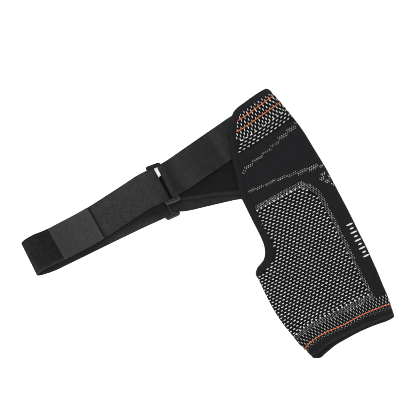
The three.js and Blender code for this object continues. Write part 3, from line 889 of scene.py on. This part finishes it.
def stairs(treads):
    """Small upright flecks on each tread: two courses, or three on a high one, by turns half a pitch on."""
    rows = []
    for start, end, y, height, shade in treads:
        for turn, rise in enumerate(np.linspace(0.5, -0.5, 3 if height > HIGH_TREAD else 2)):
            x = np.arange(start + TREAD_PITCH * (0.25 + 0.5 * (turn % 2)), end, TREAD_PITCH)
            rows.append(floats_at(x, y + rise * height, *FLECK_SIZE, 90, pale(x, shade, 0.3)))
    return np.concatenate(rows)


def yarn_finish(name, roughness):
    """A finish with relief from the strands of a yarn, and the strands' height from 0 to 1."""
    finish = Finish(name, roughness, shine=0.2)
    long_mm, short_mm = finish.cloth_mm()
    strand = (short_mm + long_mm * 0.12).wave(0.55)
    finish.relief(strand, 0.12)
    return finish, strand


def lay_yarn(name, front, back, finish):
    """A piece of floats on the front of the knit and one on its back."""
    for side, floats, place_at in (("front", front, front_at), ("back", back, back_at)):
        piece = dome_piece(f"{name}_{side}", floats, place_at)
        finish.put_on(piece)


LADDER_Y = np.linspace(-14, 36, 9)
LADDER_X = 73.0 + 0.02 * LADDER_Y
LADDER_LENGTH = np.where(np.arange(9) % 2, 7.0, 12.0)
LADDER_BAR = (2.5, 0.6, -3, 1.1)  # width, rise, turn in degrees, how pale
ladder = floats_at(LADDER_X, LADDER_Y, LADDER_LENGTH, *LADDER_BAR)
pale_yarn, strand = yarn_finish("pale_yarn", 0.85)
pale_yarn.colour(pale_yarn.painted() * (0.58 + 0.2 * strand), tone(1.0, 0.985, 0.985))
lay_yarn("pale_floats", np.concatenate([both_faces, stairs(TREADS), ladder]), both_faces, pale_yarn)

# %% [markdown]
# ## Orange lines
#
# Three thin orange lines are laid in with one course of floats each, two over the cap and one above the
# hem. The floats overlap end to end, so they read as a beaded line.

# %% Orange yarn
CAP_BEAD, CUFF_BEAD = 3.1, 2.6  # from one bead to the next
BEAD_OVERLAP, BEAD_WIDTH, BEAD_RISE = 1.35, 1.55, 1.1


def beaded_line(rows, pitch):
    """Floats end to end along a plan line, at even steps of it, one pale and one deep by turns."""
    way = steps_along(rows)
    at = np.arange(pitch / 2, way[-1], pitch)
    x, y = read_rows(rows, way, at).T
    angle = np.degrees(np.arctan2(np.gradient(y), np.gradient(x)))
    light = 0.7 * (np.arange(len(x)) % 2)
    return floats_at(x, y, pitch * BEAD_OVERLAP, BEAD_WIDTH, BEAD_RISE, angle, light)


orange_lines = [beaded_line(rows, CAP_BEAD) for rows in CAP_LINES]
orange_floats = np.concatenate([*orange_lines, beaded_line(CUFF_LINE, CUFF_BEAD)])
orange_yarn, _ = yarn_finish("orange_yarn", 0.8)
orange_shade = orange_yarn.mix(orange_yarn.painted(), tone(0.66, 0.11, 0.025), tone(0.88, 0.29, 0.11))
orange_yarn.feed("Base Color", orange_shade)
lay_yarn("orange_line", orange_floats, orange_floats, orange_yarn)

# %% [markdown]
# ## Bands, strap and tab as ribbons
#
# The chest strap and its neighbours are flat strips that turn round plastic rings. A strip is a path in
# the XZ plane with a crossline at each point of it. Each table row holds a crossline: the middle plane's
# x and z, the y of its two edges, and lean, how far the high edge lies to the right of the low one.
# Between rows the table is read as a smooth curve, and a thin profile with rounded edges is carried
# along it. The thickness is square to the path, so the strip keeps it round every turn.

# %% Ribbons
RIBBON_STEP = 1.0
EDGE_ROUND = np.array([  # way in from the edge, share of the half thickness
    (0.0, 0.0), (0.15, 0.6), (0.5, 0.92), (1.1, 1.0), (2.2, 1.0), (3.4, 1.0),
])


def crosslines(rows, at):
    """Low and high ends and normal of the crosslines at these ways along the path."""
    chord = steps_along(rows[:, :2])
    x, z, low, high, lean = (smooth_table(chord, column, at) for column in rows.T)
    ahead_x, ahead_z = np.gradient(x, at), np.gradient(z, at)
    normal = unit(np.stack([-ahead_z, 0 * x, ahead_x], -1))
    return np.stack([x, low, z], -1), np.stack([x + lean, high, z], -1), normal


def ribbon(name, rows, thickness, shade, columns=18, lift=None):
    """A strip of cloth as one closed mesh. The profile goes over the face on the normal's side from the
    high edge to the low one, and back underneath. Shade says how light the cloth is: a function of the
    way along the path, the way over the face from its low edge, the way in from its nearer edge, and
    plan x and y. Lift raises points by a function of plan x and y."""
    length = steps_along(rows[:, :2])[-1]
    at = np.linspace(0, length, int(length / RIBBON_STEP))
    low, high, normal = crosslines(rows, at)
    inset, share = EDGE_ROUND.T
    middle = np.linspace(0, 1, columns)[1:-1]
    across = np.r_[0 * inset, middle, 0 * inset + 1]
    offset = np.r_[inset, inset[-1] * (1 - 2 * middle), -inset[::-1]]
    height = np.r_[share, 0 * middle + 1, share[::-1]] * thickness / 2
    upper = np.array([across, offset, height])[:, ::-1]
    lower = np.array([across, offset, -height])[:, 1:-1]
    across, offset, height = np.concatenate([upper, lower], 1)
    points = low[:, None] + across[:, None] * (high - low)[:, None]
    points = points + offset[:, None] * unit(high - low)[:, None] + height[:, None] * normal[:, None]
    if lift is not None:
        points[..., 2] += lift(points[..., 0], points[..., 1])
    span = np.linalg.norm(high - low, axis=-1)[:, None]
    over = across * span + offset
    way = np.repeat(at[:, None], over.shape[1], 1)
    shades = shade(way, over, np.minimum(over, span - over), points[..., 0], points[..., 1])
    uv = np.stack([way, over], -1)
    uv = np.concatenate([uv, uv[:, :1]], 1)
    faces, corners = grid_faces(points.shape[:2], close_columns=True, uv=uv)
    count = points.shape[1]
    caps = np.stack([np.arange(count)[::-1], np.arange(count) + (len(at) - 1) * count])
    piece = make_piece(name, points, [faces, caps], corners, shades)
    under = np.tile(np.arange(count) >= upper.shape[1] - 1, len(at) - 1)
    piece.data.polygons.foreach_set("material_index", np.r_[under, False, False].astype(np.int32))
    piece.data.polygons.foreach_set("use_smooth", np.arange(len(under) + 2) < len(under))
    return piece


# %% [markdown]
# ## Front and back bands
#
# Each band is a strip of soft brushed elastic that is sewn into the armhole and turned round a ring, with
# its end sewn down. The front band is a little wavy: it dips beside its ring and again before the
# armhole, where the seam draws it in. The back band lies slack: a soft ridge runs along it where it has
# rolled up. Both bands carry painted light and shade. The front band's swell table gives its lift and a
# painted tint, lighter where it swells and darker where it dips. The back band has a painted highlight on
# the ridge's crest, painted shadow in the groove at its foot and over the strip above the ridge, painted
# shadow beside its ring, and a painted highlight where it turns round the ring.

# %% Bands
BAND_THICKNESS = 1.8
FRONT_BAND = np.array([  # x, z, low, high, lean
    (-107.5, 10.7, 190.9, 241.4, 0), (-111, 11.6, 190.7, 241.3, 0), (-114.3, 13.9, 190.6, 241.2, 0),
    (-118, 15.7, 190.4, 240.6, 0.4), (-123, 15.7, 190.5, 239.4, 2), (-124.8, 14.5, 190.5, 239.3, 2.6),
    (-125.4, 12.5, 190.5, 239.3, 2.8), (-124.8, 10.5, 190.5, 239.3, 2.6), (-123, 9.3, 190.5, 239.4, 2),
    (-115, 9.3, 190.6, 241.3, 0), (-108, 9.3, 190.8, 241.6, 0.3), (-95, 9.5, 191.6, 242.8, 1),
    (-75, 10.2, 193.4, 244.9, 4), (-55, 10.8, 195, 247.4, 11), (-38, 11.3, 196.6, 249.6, 19),
    (-28, 11.6, 197.4, 251.2, 26), (-16, 11.8, 198.4, 251.4, 28),
])
BACK_BAND = np.array([  # x, z, low, high, lean
    (-108, 0.9, 166, 217.5, 0), (-118, 0.9, 168, 219.2, 0), (-127, 0.9, 170.4, 220.8, 0),
    (-132, 0.95, 172, 221.4, 0), (-135.2, 2.1, 172, 221.4, 0), (-136.69, 4, 172, 221.4, 0),
    (-135.2, 5.9, 172, 221.4, 0), (-132, 7, 171.6, 222, 0), (-126.5, 7, 169.6, 227, 0),
    (-121.5, 6, 167, 226.6, 0), (-116.5, 4.3, 165, 223.5, 0), (-111.5, 3.2, 163.2, 220.5, 0),
    (-104, 3, 161, 216.5, 0), (-97, 1.8, 159, 213, 0.5), (-90, 1, 157, 210, 1),
    (-75, 0.9, 152.6, 206, 3), (-58, 0.9, 147.6, 201.4, 6), (-51, 2, 145.6, 200.4, 8),
    (-46, 3.8, 143.8, 200, 11), (-42, 4.3, 142.2, 199.8, 13), (-31, 4.3, 139.6, 199.4, 13),
])
FRONT_SWELL = np.array([  # x, swell
    (-126, 0.2), (-119, 0.1), (-112.5, -0.4), (-105, 0.0), (-96, 0.5), (-84, 0.2), (-70, -0.05),
    (-57, -0.35), (-47, -0.38), (-40, -0.42), (-35, 0.2), (-27, 0.25), (-20, -0.2), (-14, -0.3),
])
RIDGE = np.array([(-118, 185.3), (-100, 177.4), (-70, 166), (-40, 152)])


def front_lift(x, y):
    """The front band's wave along its length, read from the table."""
    return smooth_table(*FRONT_SWELL.T, x)


def front_shade(way, over, edge, x, y):
    """Painted light and shade: lighter where the band swells and darker where it dips, and a little lighter
    along its woven edges and its high side.
    """
    high = 0.07 * smooth_step(226, 238, y)
    # painted light and shade follow the swell
    return 0.95 + 0.45 * front_lift(x, y) + 0.12 * bell(edge, 1.5) + high


def ridge_lift(x, y):
    """A soft roll along the back band: a bell across the ridge line that fades out at both ends."""
    away = y - np.interp(x, *RIDGE.T)
    ends = smooth_step(-120, -104, x) * (1 - smooth_step(-52, -40, x))
    return 2.3 * bell(away, 3.6) * ends


def ridge_shade(way, over, edge, x, y):
    """Painted light and shade: a painted highlight on the ridge's crest, a painted shadow in the groove at
    its foot, painted shade over the strip above the ridge, painted shadow beside the ring, and a painted
    highlight where the band turns round the ring.
    """
    away = y - np.interp(x, *RIDGE.T)
    # painted highlight on the crest and painted shadow in the groove
    crest_highlight = 0.14 * bell(away, 1.5)
    groove_shadow = 0.36 * bell(away + 4, 2.3)
    # painted shadow beside the ring, and a painted highlight where the band turns round it
    ring_shadow_and_highlight = 0.25 * (1 - smooth_step(-132, -108, x)) - 0.9 * (1 - smooth_step(-137.4, -136.2, x))
    # the last term is painted shade over the strip above the ridge
    return 0.91 + crest_highlight - groove_shadow - ring_shadow_and_highlight - 0.57 * smooth_step(0.4, 5, away)


front_band = ribbon("front_band_cloth", FRONT_BAND, BAND_THICKNESS, front_shade, lift=front_lift)
back_band = ribbon("back_band_cloth", BACK_BAND, BAND_THICKNESS, ridge_shade, columns=40, lift=ridge_lift)
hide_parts("front_band")
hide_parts("back_band")

band_tone = tone(0.0315, 0.0315, 0.0331)
band_cloth = Finish("band_cloth", roughness=0.9, shine=0.15)
fibre = band_cloth.solid_noise(1.1, 4.0) * 0.6 + band_cloth.cloth_mm()[1].wave(1.25) * 0.4
band_cloth.dress(fibre, 0.25, band_tone, even=0.26, woven=0.45, mottled=0.18, grain=7)
band_cloth.put_on(front_band, back_band)

# %% [markdown]
# ## Chest strap
#
# The strap is one length of webbing. It starts under the back ring, turns round it, runs out to the left
# along the table, folds back over itself, goes up through the front ring, and lies back on top. One face
# of it is a dark looped pile that the hooks catch, and the other a flat woven face, so the mesh has two
# finishes: one on the normal's side of the strip and one on the far side.

# %% Strap
STRAP_THICKNESS = 1.8
STRAP = np.array([  # x, z, low, high, lean
    (-192, 0.9, 176, 226, 0), (-160, 0.9, 173.6, 223.4, 0), (-148, 0.9, 171.8, 221.4, 0),
    (-142.8, 0.95, 172, 221.4, 0), (-139.9, 2.1, 172, 221.4, 0), (-138.33, 4, 172, 221.4, 0),
    (-139.9, 5.9, 172, 221.4, 0), (-142.8, 7, 172, 221.4, 0), (-149, 7, 172, 222, 0),
    (-155, 6, 172.3, 222.8, 0), (-162, 4.4, 172.9, 223.4, 0), (-170, 3.3, 173.7, 224, 0),
    (-194, 3.1, 175.5, 225.8, 0), (-202, 2.2, 176, 226.4, 0), (-212, 1, 176.6, 227, 0),
    (-250, 0.9, 178.9, 229.5, 0), (-300, 0.9, 181.8, 232.4, 0), (-326, 0.9, 183.8, 234.6, 0),
    (-337, 1, 186, 236.6, 0), (-343.4, 2.2, 187.6, 238, 1.6), (-346.5, 4.6, 189.2, 239.8, 2.6),
    (-345.7, 7.2, 190.2, 241.3, 2.8), (-341.3, 8.6, 191, 242.4, 2.3), (-333, 8.4, 191.6, 243, 1.4),
    (-322, 6.2, 191.2, 242.7, 0.4), (-312, 4.1, 190.5, 241.4, 0), (-304, 3.2, 189.8, 240.6, 0),
    (-290, 3.1, 188.8, 239.4, 0), (-250, 3.1, 188.4, 238.6, 0), (-216, 3.2, 189.8, 239.8, 0),
    (-204, 4.4, 190.7, 240.5, 0), (-194, 5.4, 191.4, 241, 0), (-172, 5.7, 193, 242.4, 0),
    (-163, 7.1, 193.5, 242.9, 0), (-154, 8.9, 193.4, 243, 0), (-147, 9.35, 192.4, 242.2, 0),
    (-138, 9.35, 191.4, 241.2, 0), (-133, 9.4, 191.4, 241, 0), (-130.3, 10.6, 191.2, 240.8, 0),
    (-129.3, 12.5, 191.1, 240.7, 0), (-130.3, 14.4, 191.2, 240.8, 0), (-133, 15.6, 191.5, 241.2, 0),
    (-139, 15.6, 192, 242.7, 0), (-146, 14.2, 192.6, 243.3, 0), (-156, 11.4, 193.6, 243.5, 0),
    (-166, 9, 193.5, 242.9, 0), (-176, 7.9, 192.8, 242.2, 0), (-194, 7.6, 191.4, 241, 0),
    (-206, 6.4, 190.6, 240.4, 0), (-218, 5.4, 189.7, 239.7, 0), (-236, 5.3, 188.8, 238.8, 0),
    (-250, 5.3, 188.4, 238.6, 0),
])
TAB_END = -238.0
strap_ways = steps_along(STRAP[:, :2])
BACK_TURN, LEFT_FOLD, FRONT_TURN = strap_ways[5], strap_ways[20], strap_ways[39]


def strap_shade(way, over, edge, x, y):
    """Each run of the strap has its own tint, with painted light and shade in it. The run on the table is
    dark, with painted shade that deepens under the layers above it and beside the back ring, and a painted
    highlight where it turns round that ring. After the left fold the pile shows, lighter towards the fold
    and along its low woven edge. The tail is lightest, with a painted shadow beside the tab's end and
    painted shade as it turns down round the front ring."""
    # painted shade on the run on the table: darker under the layers above it and beside the back ring, with
    # a painted highlight where the strap turns round the back ring
    near_ring = smooth_step(-265, -215, x) * (1 - 0.6 * smooth_step(-172, -146, x))
    shade_under_layers = smooth_step(0, 7 + 9 * near_ring, over)
    on_table = (0.38 + 0.47 * near_ring) * (1 - shade_under_layers) + 0.14 * shade_under_layers + smooth_step(-139, -137.9, x)
    lighter_by_fold = 0.3 * (1 - smooth_step(-340, -312, x)) + 0.55 * (1 - smooth_step(-346, -337, x))
    pile_run = 0.8 + lighter_by_fold + 1.6 * bell(over - 0.7, 1.7)
    tail = 0.82 + 0.09 * smooth_step(0, 9, over) + 0.1 * smooth_step(26, 42, over)
    # painted shadow beside the tab's end
    tail = tail * (1 - 0.8 * bell(x - TAB_END - 1.0, 2.6))
    # painted shade as the tail turns down round the front ring
    tail = tail * (1 - 0.45 * smooth_step(-150, -136, x) * (1 - 0.5 * smooth_step(0, 24, over)))
    shade = 1 + (on_table - 1) * smooth_step(-9, 0, way - BACK_TURN)
    shade = shade + (pile_run - shade) * smooth_step(-3, 3, way - LEFT_FOLD)
    return shade + (tail - shade) * smooth_step(-3, 3, way - FRONT_TURN)


strap = ribbon("chest_strap", STRAP, STRAP_THICKNESS, strap_shade)
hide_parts("strap")

pile_tone = tone(0.052, 0.052, 0.0555)
pile = Finish("loop_pile", roughness=0.95, shine=0.12)
loops = pile.solid_noise(0.9, 4.0, 0.65)
pile.dress(loops, 0.6, pile_tone, even=0.08, woven=0.18, mottled=0.14, grain=4)

webbing = Finish("flat_webbing", roughness=0.78, shine=0.2)
along_mm, across_mm = webbing.cloth_mm()
warp = (across_mm + along_mm * 0.02).wave(1.5)
weft = (along_mm + across_mm.tent(3.0) * 1.1).wave(2.2)
twill = (across_mm - along_mm * 0.5).wave(5.0)
weave = warp * 0.5 + weft * 0.35 + twill * 0.15
webbing.relief(weave, 0.3)
web_tone = webbing.painted() * (0.3 + 0.36 * weave + 0.05 * twill + 0.3 * webbing.mottle(4.5))
webbing.colour(web_tone, tone(0.034, 0.034, 0.0355))
pile.put_on(strap)
webbing.put_on(strap)

# %% [markdown]
# ## Hook tab
#
# The tab is sewn to the strap's end and holds it down. Its back, which shows, is a smooth tape with fine
# lines along it, paler than the webbing.

# %% Hook tab
TAB_THICKNESS = 1.2
HOOK_TAB = np.array([  # x, z, low, high, lean
    (TAB_END, 7.1, 188.6, 239, 0), (-251, 7.1, 188.3, 238.8, 0), (-256, 6.4, 188.3, 238.9, 0),
    (-262, 5.2, 188.4, 239, 0), (-268, 4.95, 188.5, 239.2, 0), (-302, 4.95, 189.6, 240.2, 0),
])


def tab_shade(way, over, edge, x, y):
    """Painted light where the tab swells over the strap's end, and painted highlights on its two cut ends;
    it is also lighter towards its high edge.
    """
    # painted light where the tab swells over the strap's end
    over_strap = 0.2 * smooth_step(-280, -264, x)
    # painted highlights on the two cut ends
    ends = 0.2 * bell(x - TAB_END + 1.5, 1.6) + 0.1 * bell(x + 301, 1.4)
    return 0.79 + over_strap + 0.14 * smooth_step(226, 240, y) + ends


hook_tab = ribbon("hook_tab_tape", HOOK_TAB, TAB_THICKNESS, tab_shade)
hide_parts("hook_tab")

hook_back = Finish("hook_tape_back", roughness=0.7, shine=0.25)
along_mm, across_mm = hook_back.cloth_mm()
line = across_mm.wave(1.1)
dot = along_mm.wave(1.4) * line
hook_back.relief(line * 0.6 + dot * 0.4, 0.16)
tab_tone = hook_back.painted() * (0.48 + 0.25 * line + 0.24 * hook_back.mottle(4.5))
hook_back.colour(tab_tone, tone(0.0362, 0.0362, 0.0367))
hook_back.put_on(hook_tab)

# %% [markdown]
# ## Rings
#
# The two rings are moulded plastic: a flat bar bent into a rounded rectangle. An outer outline and an
# inner one with as many points are matched, and a soft-cornered section is drawn between each pair. Both
# lie a little askew, and the edges of their low ends carry a painted highlight and are glossier there.

# %% Rings
RING_SIZE = (22.0, 62.0)
RING_SLOT = (14.4, 49.4)
RING_CORNER, SLOT_CORNER = 4.0, 1.4
RING_THICKNESS = 3.5
RING_SQUARENESS = 0.9
RING_SIDES = 16
RINGS = {  # node: place of its middle, skew
    "front_ring": ((-127.5, 215.4, 10.8), -0.16),
    "back_ring": ((-137.6, 196.8, 2.2), -0.08),
}


def rounded_rectangle(size, corner, arc_points=9, side_points=14):
    """Outline of a rectangle with round corners, the same number of points whatever its size."""
    quarter = np.linspace(0, np.pi / 2, arc_points)
    signs = np.array([(1, -1), (1, 1), (-1, 1), (-1, -1)])
    centres = signs * (np.array(size) / 2 - corner)
    starts = np.array([-np.pi / 2, 0, np.pi / 2, np.pi])
    angles = starts[:, None] + quarter
    arcs = centres[:, None] + corner * np.stack([np.cos(angles), np.sin(angles)], -1)
    share = np.linspace(0, 1, side_points + 2)[1:-1, None]
    ends = np.roll(arcs[:, 0], -1, axis=0)
    sides = arcs[:, -1][:, None] + share * (ends - arcs[:, -1])[:, None]
    return np.concatenate([arcs, sides], 1).reshape(-1, 2)


def soft_power(value, power):
    """A power that keeps the sign."""
    return np.sign(value) * np.abs(value) ** power


def plastic_ring(name, place, skew):
    """A closed grid: along the outline, and round a section that is a squared ellipse between the outer
    outline and the slot's. Skew slants the ends. The shade is a painted highlight on the low end: it peaks
    on the section's upper shoulders, where the fourth power of sin(2 turn) is 1, the outer one more."""
    outer = rounded_rectangle(RING_SIZE, RING_CORNER)
    inner = rounded_rectangle(RING_SLOT, SLOT_CORNER)
    turn = 2 * np.pi * np.arange(RING_SIDES) / RING_SIDES
    reach = 0.5 + 0.5 * soft_power(np.cos(turn), RING_SQUARENESS)
    rise = 0.5 + 0.5 * soft_power(np.sin(turn), RING_SQUARENESS)
    plan = inner[:, None] + reach[:, None] * (outer - inner)[:, None]
    plan = plan + np.array([0, skew]) * plan[..., :1]
    z = np.broadcast_to(rise * RING_THICKNESS, plan.shape[:2])
    points = np.concatenate([plan, z[..., None]], -1) + place
    faces, _ = grid_faces(points.shape[:2], True, True)
    # painted highlight on the low end's upper shoulders, the outer more; the rest of the ring stays dark
    shoulder_highlight = np.sin(2 * turn) ** 4 * (np.sin(turn) > 0) * (0.7 + 0.3 * np.sign(np.cos(turn)))
    shade = 0.08 + 0.92 * shoulder_highlight * smooth_step(14, 27, -plan[..., 1])
    return make_piece(name, points, [faces[:, ::-1]], None, shade)


ring_plastic = Finish("ring_plastic", roughness=0.5, shine=0.1)
for node, (place, skew) in RINGS.items():
    piece = plastic_ring("moulded_" + node, place, skew)
    ring_plastic.put_on(piece)
    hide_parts(node)

ring_plastic.relief(ring_plastic.solid_noise(0.8, 4.0), 0.08)
# the painted highlight, mottled; the same share makes the plastic glossier there
highlight_and_gloss = ring_plastic.painted() * (0.5 + ring_plastic.solid_noise(6))
highlight_colour = ring_plastic.mix(highlight_and_gloss, tone(0.004, 0.004, 0.0045), tone(0.1, 0.1, 0.102))
ring_plastic.feed("Base Color", highlight_colour)
ring_plastic.feed("Roughness", 0.75 - 0.3 * highlight_and_gloss)

# %% [markdown]
# ## Stitches
#
# A twin row of black stitches holds the binding, and one row the strap's end beside the tab. A stitch is
# a dome like a float, only long and thin.

# %% Stitches
STITCH_SIZE = (2.6, 0.75, 0.4)  # length, width, rise
STITCH_PITCH = 3.3
BINDING_SEAMS = (6.6, 8.8)  # way in from the armhole's edge
BINDING_TOP = 0.75
STRAP_SEAM = strap_ways[-2] + 1.2
SEAM_MARGIN = 3.0


def binding_seam(way_in, side):
    """Place, direction and normal of stitches along the armhole's edge: side 1 is the front, -1 the back."""
    turn, y, way = edge_band(np.array([way_in]))
    line = on_skin(side * turn[:, 0], y[:, 0], BINDING_TOP)
    normal = skin(side * turn[:, 0], y[:, 0])[3]
    at = np.arange(STITCH_PITCH, way[-1] - STITCH_PITCH, STITCH_PITCH)
    place, up = read_rows(line, way, at), read_rows(normal, way, at)
    ahead = unit(np.gradient(place, axis=0))
    return place, ahead, unit(up - np.sum(up * ahead, -1, keepdims=True) * ahead)


def strap_seam(way):
    """The same for a row across the strap at this way along it, on the far side from its normal."""
    low, high, normal = (ends[1] for ends in crosslines(STRAP, way + np.array([-0.1, 0, 0.1])))
    width = np.linalg.norm(high - low)
    at = np.arange(SEAM_MARGIN, width - SEAM_MARGIN, STITCH_PITCH)[:, None]
    ahead = np.broadcast_to((high - low) / width, (len(at), 3))
    up = np.broadcast_to(-normal, (len(at), 3))
    return low + at * ahead + up * STRAP_THICKNESS / 2, ahead, up


seams = [binding_seam(way_in, side) for side in (1, -1) for way_in in BINDING_SEAMS]
place, ahead, up = (np.concatenate(columns) for columns in zip(*seams, strap_seam(STRAP_SEAM)))
stitch_size = np.repeat(np.array(STITCH_SIZE)[:, None], len(place), 1)
stitches = make_piece("stitches", *dome_mesh(place, ahead, np.cross(up, ahead), up, *stitch_size))

thread = Finish("black_thread", roughness=0.7, shine=0.2)
long_mm, short_mm = thread.cloth_mm()
twist = (long_mm + short_mm * 0.8).wave(0.7)
thread.relief(twist, 0.1)
thread.feed("Base Color", thread.mix(twist, tone(0.003, 0.003, 0.0036), tone(0.009, 0.009, 0.0105)))
thread.put_on(stitches)

# %% [markdown]
# ## Cloth that was cut flat
#
# Each woven or knitted piece was cut from flat cloth, and the sleeve's piece has less area than its
# rectangle because of the armhole.

# %% [markdown]
# ## Floor, light and camera
#
# The object lies on a plain white table under a wide soft light, and the camera looks straight down with
# the sleeve turned in its frame. The floor shines a little by itself, so the ground stays white. A narrow
# pixel filter keeps the knit's small floats crisp.

# %% Stage
SLEEVE_ANGLE = math.radians(29.4)
VIEW_CENTRE = (-88.8, 154.1)
VIEW_WIDTH = 589.5
CAMERA_HEIGHT = 2200.0
VIEW_LEVEL = 10.0
SENSOR = 36.0
LAMP_PLACE = (-300, 420, 2600)
LAMP_SIZE, LAMP_WATTS = 1800, 60
SKY_STRENGTH, FLOOR_GLOW = 0.55, 0.35
PIXEL_FILTER = 0.9

scene = bpy.context.scene
scene.view_settings.view_transform = "Standard"
scene.cycles.filter_width = PIXEL_FILTER

FLOOR_REACH, FLOOR_LEVEL = 4000.0, -0.4
floor_points = np.array([(-1, -1, 0), (1, -1, 0), (1, 1, 0), (-1, 1, 0)]) * FLOOR_REACH
floor_mesh = bpy.data.meshes.new("floor")
floor_mesh.from_pydata(((floor_points + (0, 0, FLOOR_LEVEL)) * MM).tolist(), [], [(0, 1, 2, 3)])
floor = bpy.data.objects.new("floor", floor_mesh)
scene.collection.objects.link(floor)
white = tone(1.0, 1.0, 1.0)
glow = {"Base_Color": tone(0.9, 0.9, 0.9), "Emission_Color": white, "Emission_Strength": FLOOR_GLOW}
floor_white = Finish("floor_white", 0.9, 0.1, **glow)
floor_white.put_on(floor)

world = bpy.data.worlds.new("studio")
world.use_nodes = True
sky = world.node_tree.nodes["Background"]
sky.inputs["Color"].default_value = white
sky.inputs["Strength"].default_value = SKY_STRENGTH
scene.world = world

lamp_data = bpy.data.lights.new("overhead", "AREA")
lamp_data.energy = LAMP_WATTS
lamp_data.size = LAMP_SIZE * MM
lamp = bpy.data.objects.new("overhead", lamp_data)
lamp.location = Vector(LAMP_PLACE) * MM
towards = Vector((*VIEW_CENTRE, 0)) * MM - lamp.location
lamp.rotation_euler = towards.to_track_quat("-Z", "Y").to_euler()
scene.collection.objects.link(lamp)

camera_data = bpy.data.cameras.new("camera")
camera_data.sensor_width = SENSOR
camera_data.lens = SENSOR * (CAMERA_HEIGHT - VIEW_LEVEL) / VIEW_WIDTH
camera = bpy.data.objects.new("camera", camera_data)
camera.location = (VIEW_CENTRE[0] * MM, VIEW_CENTRE[1] * MM, CAMERA_HEIGHT * MM)
camera.rotation_euler = (0, 0, -SLEEVE_ANGLE)
scene.collection.objects.link(camera)
scene.camera = camera
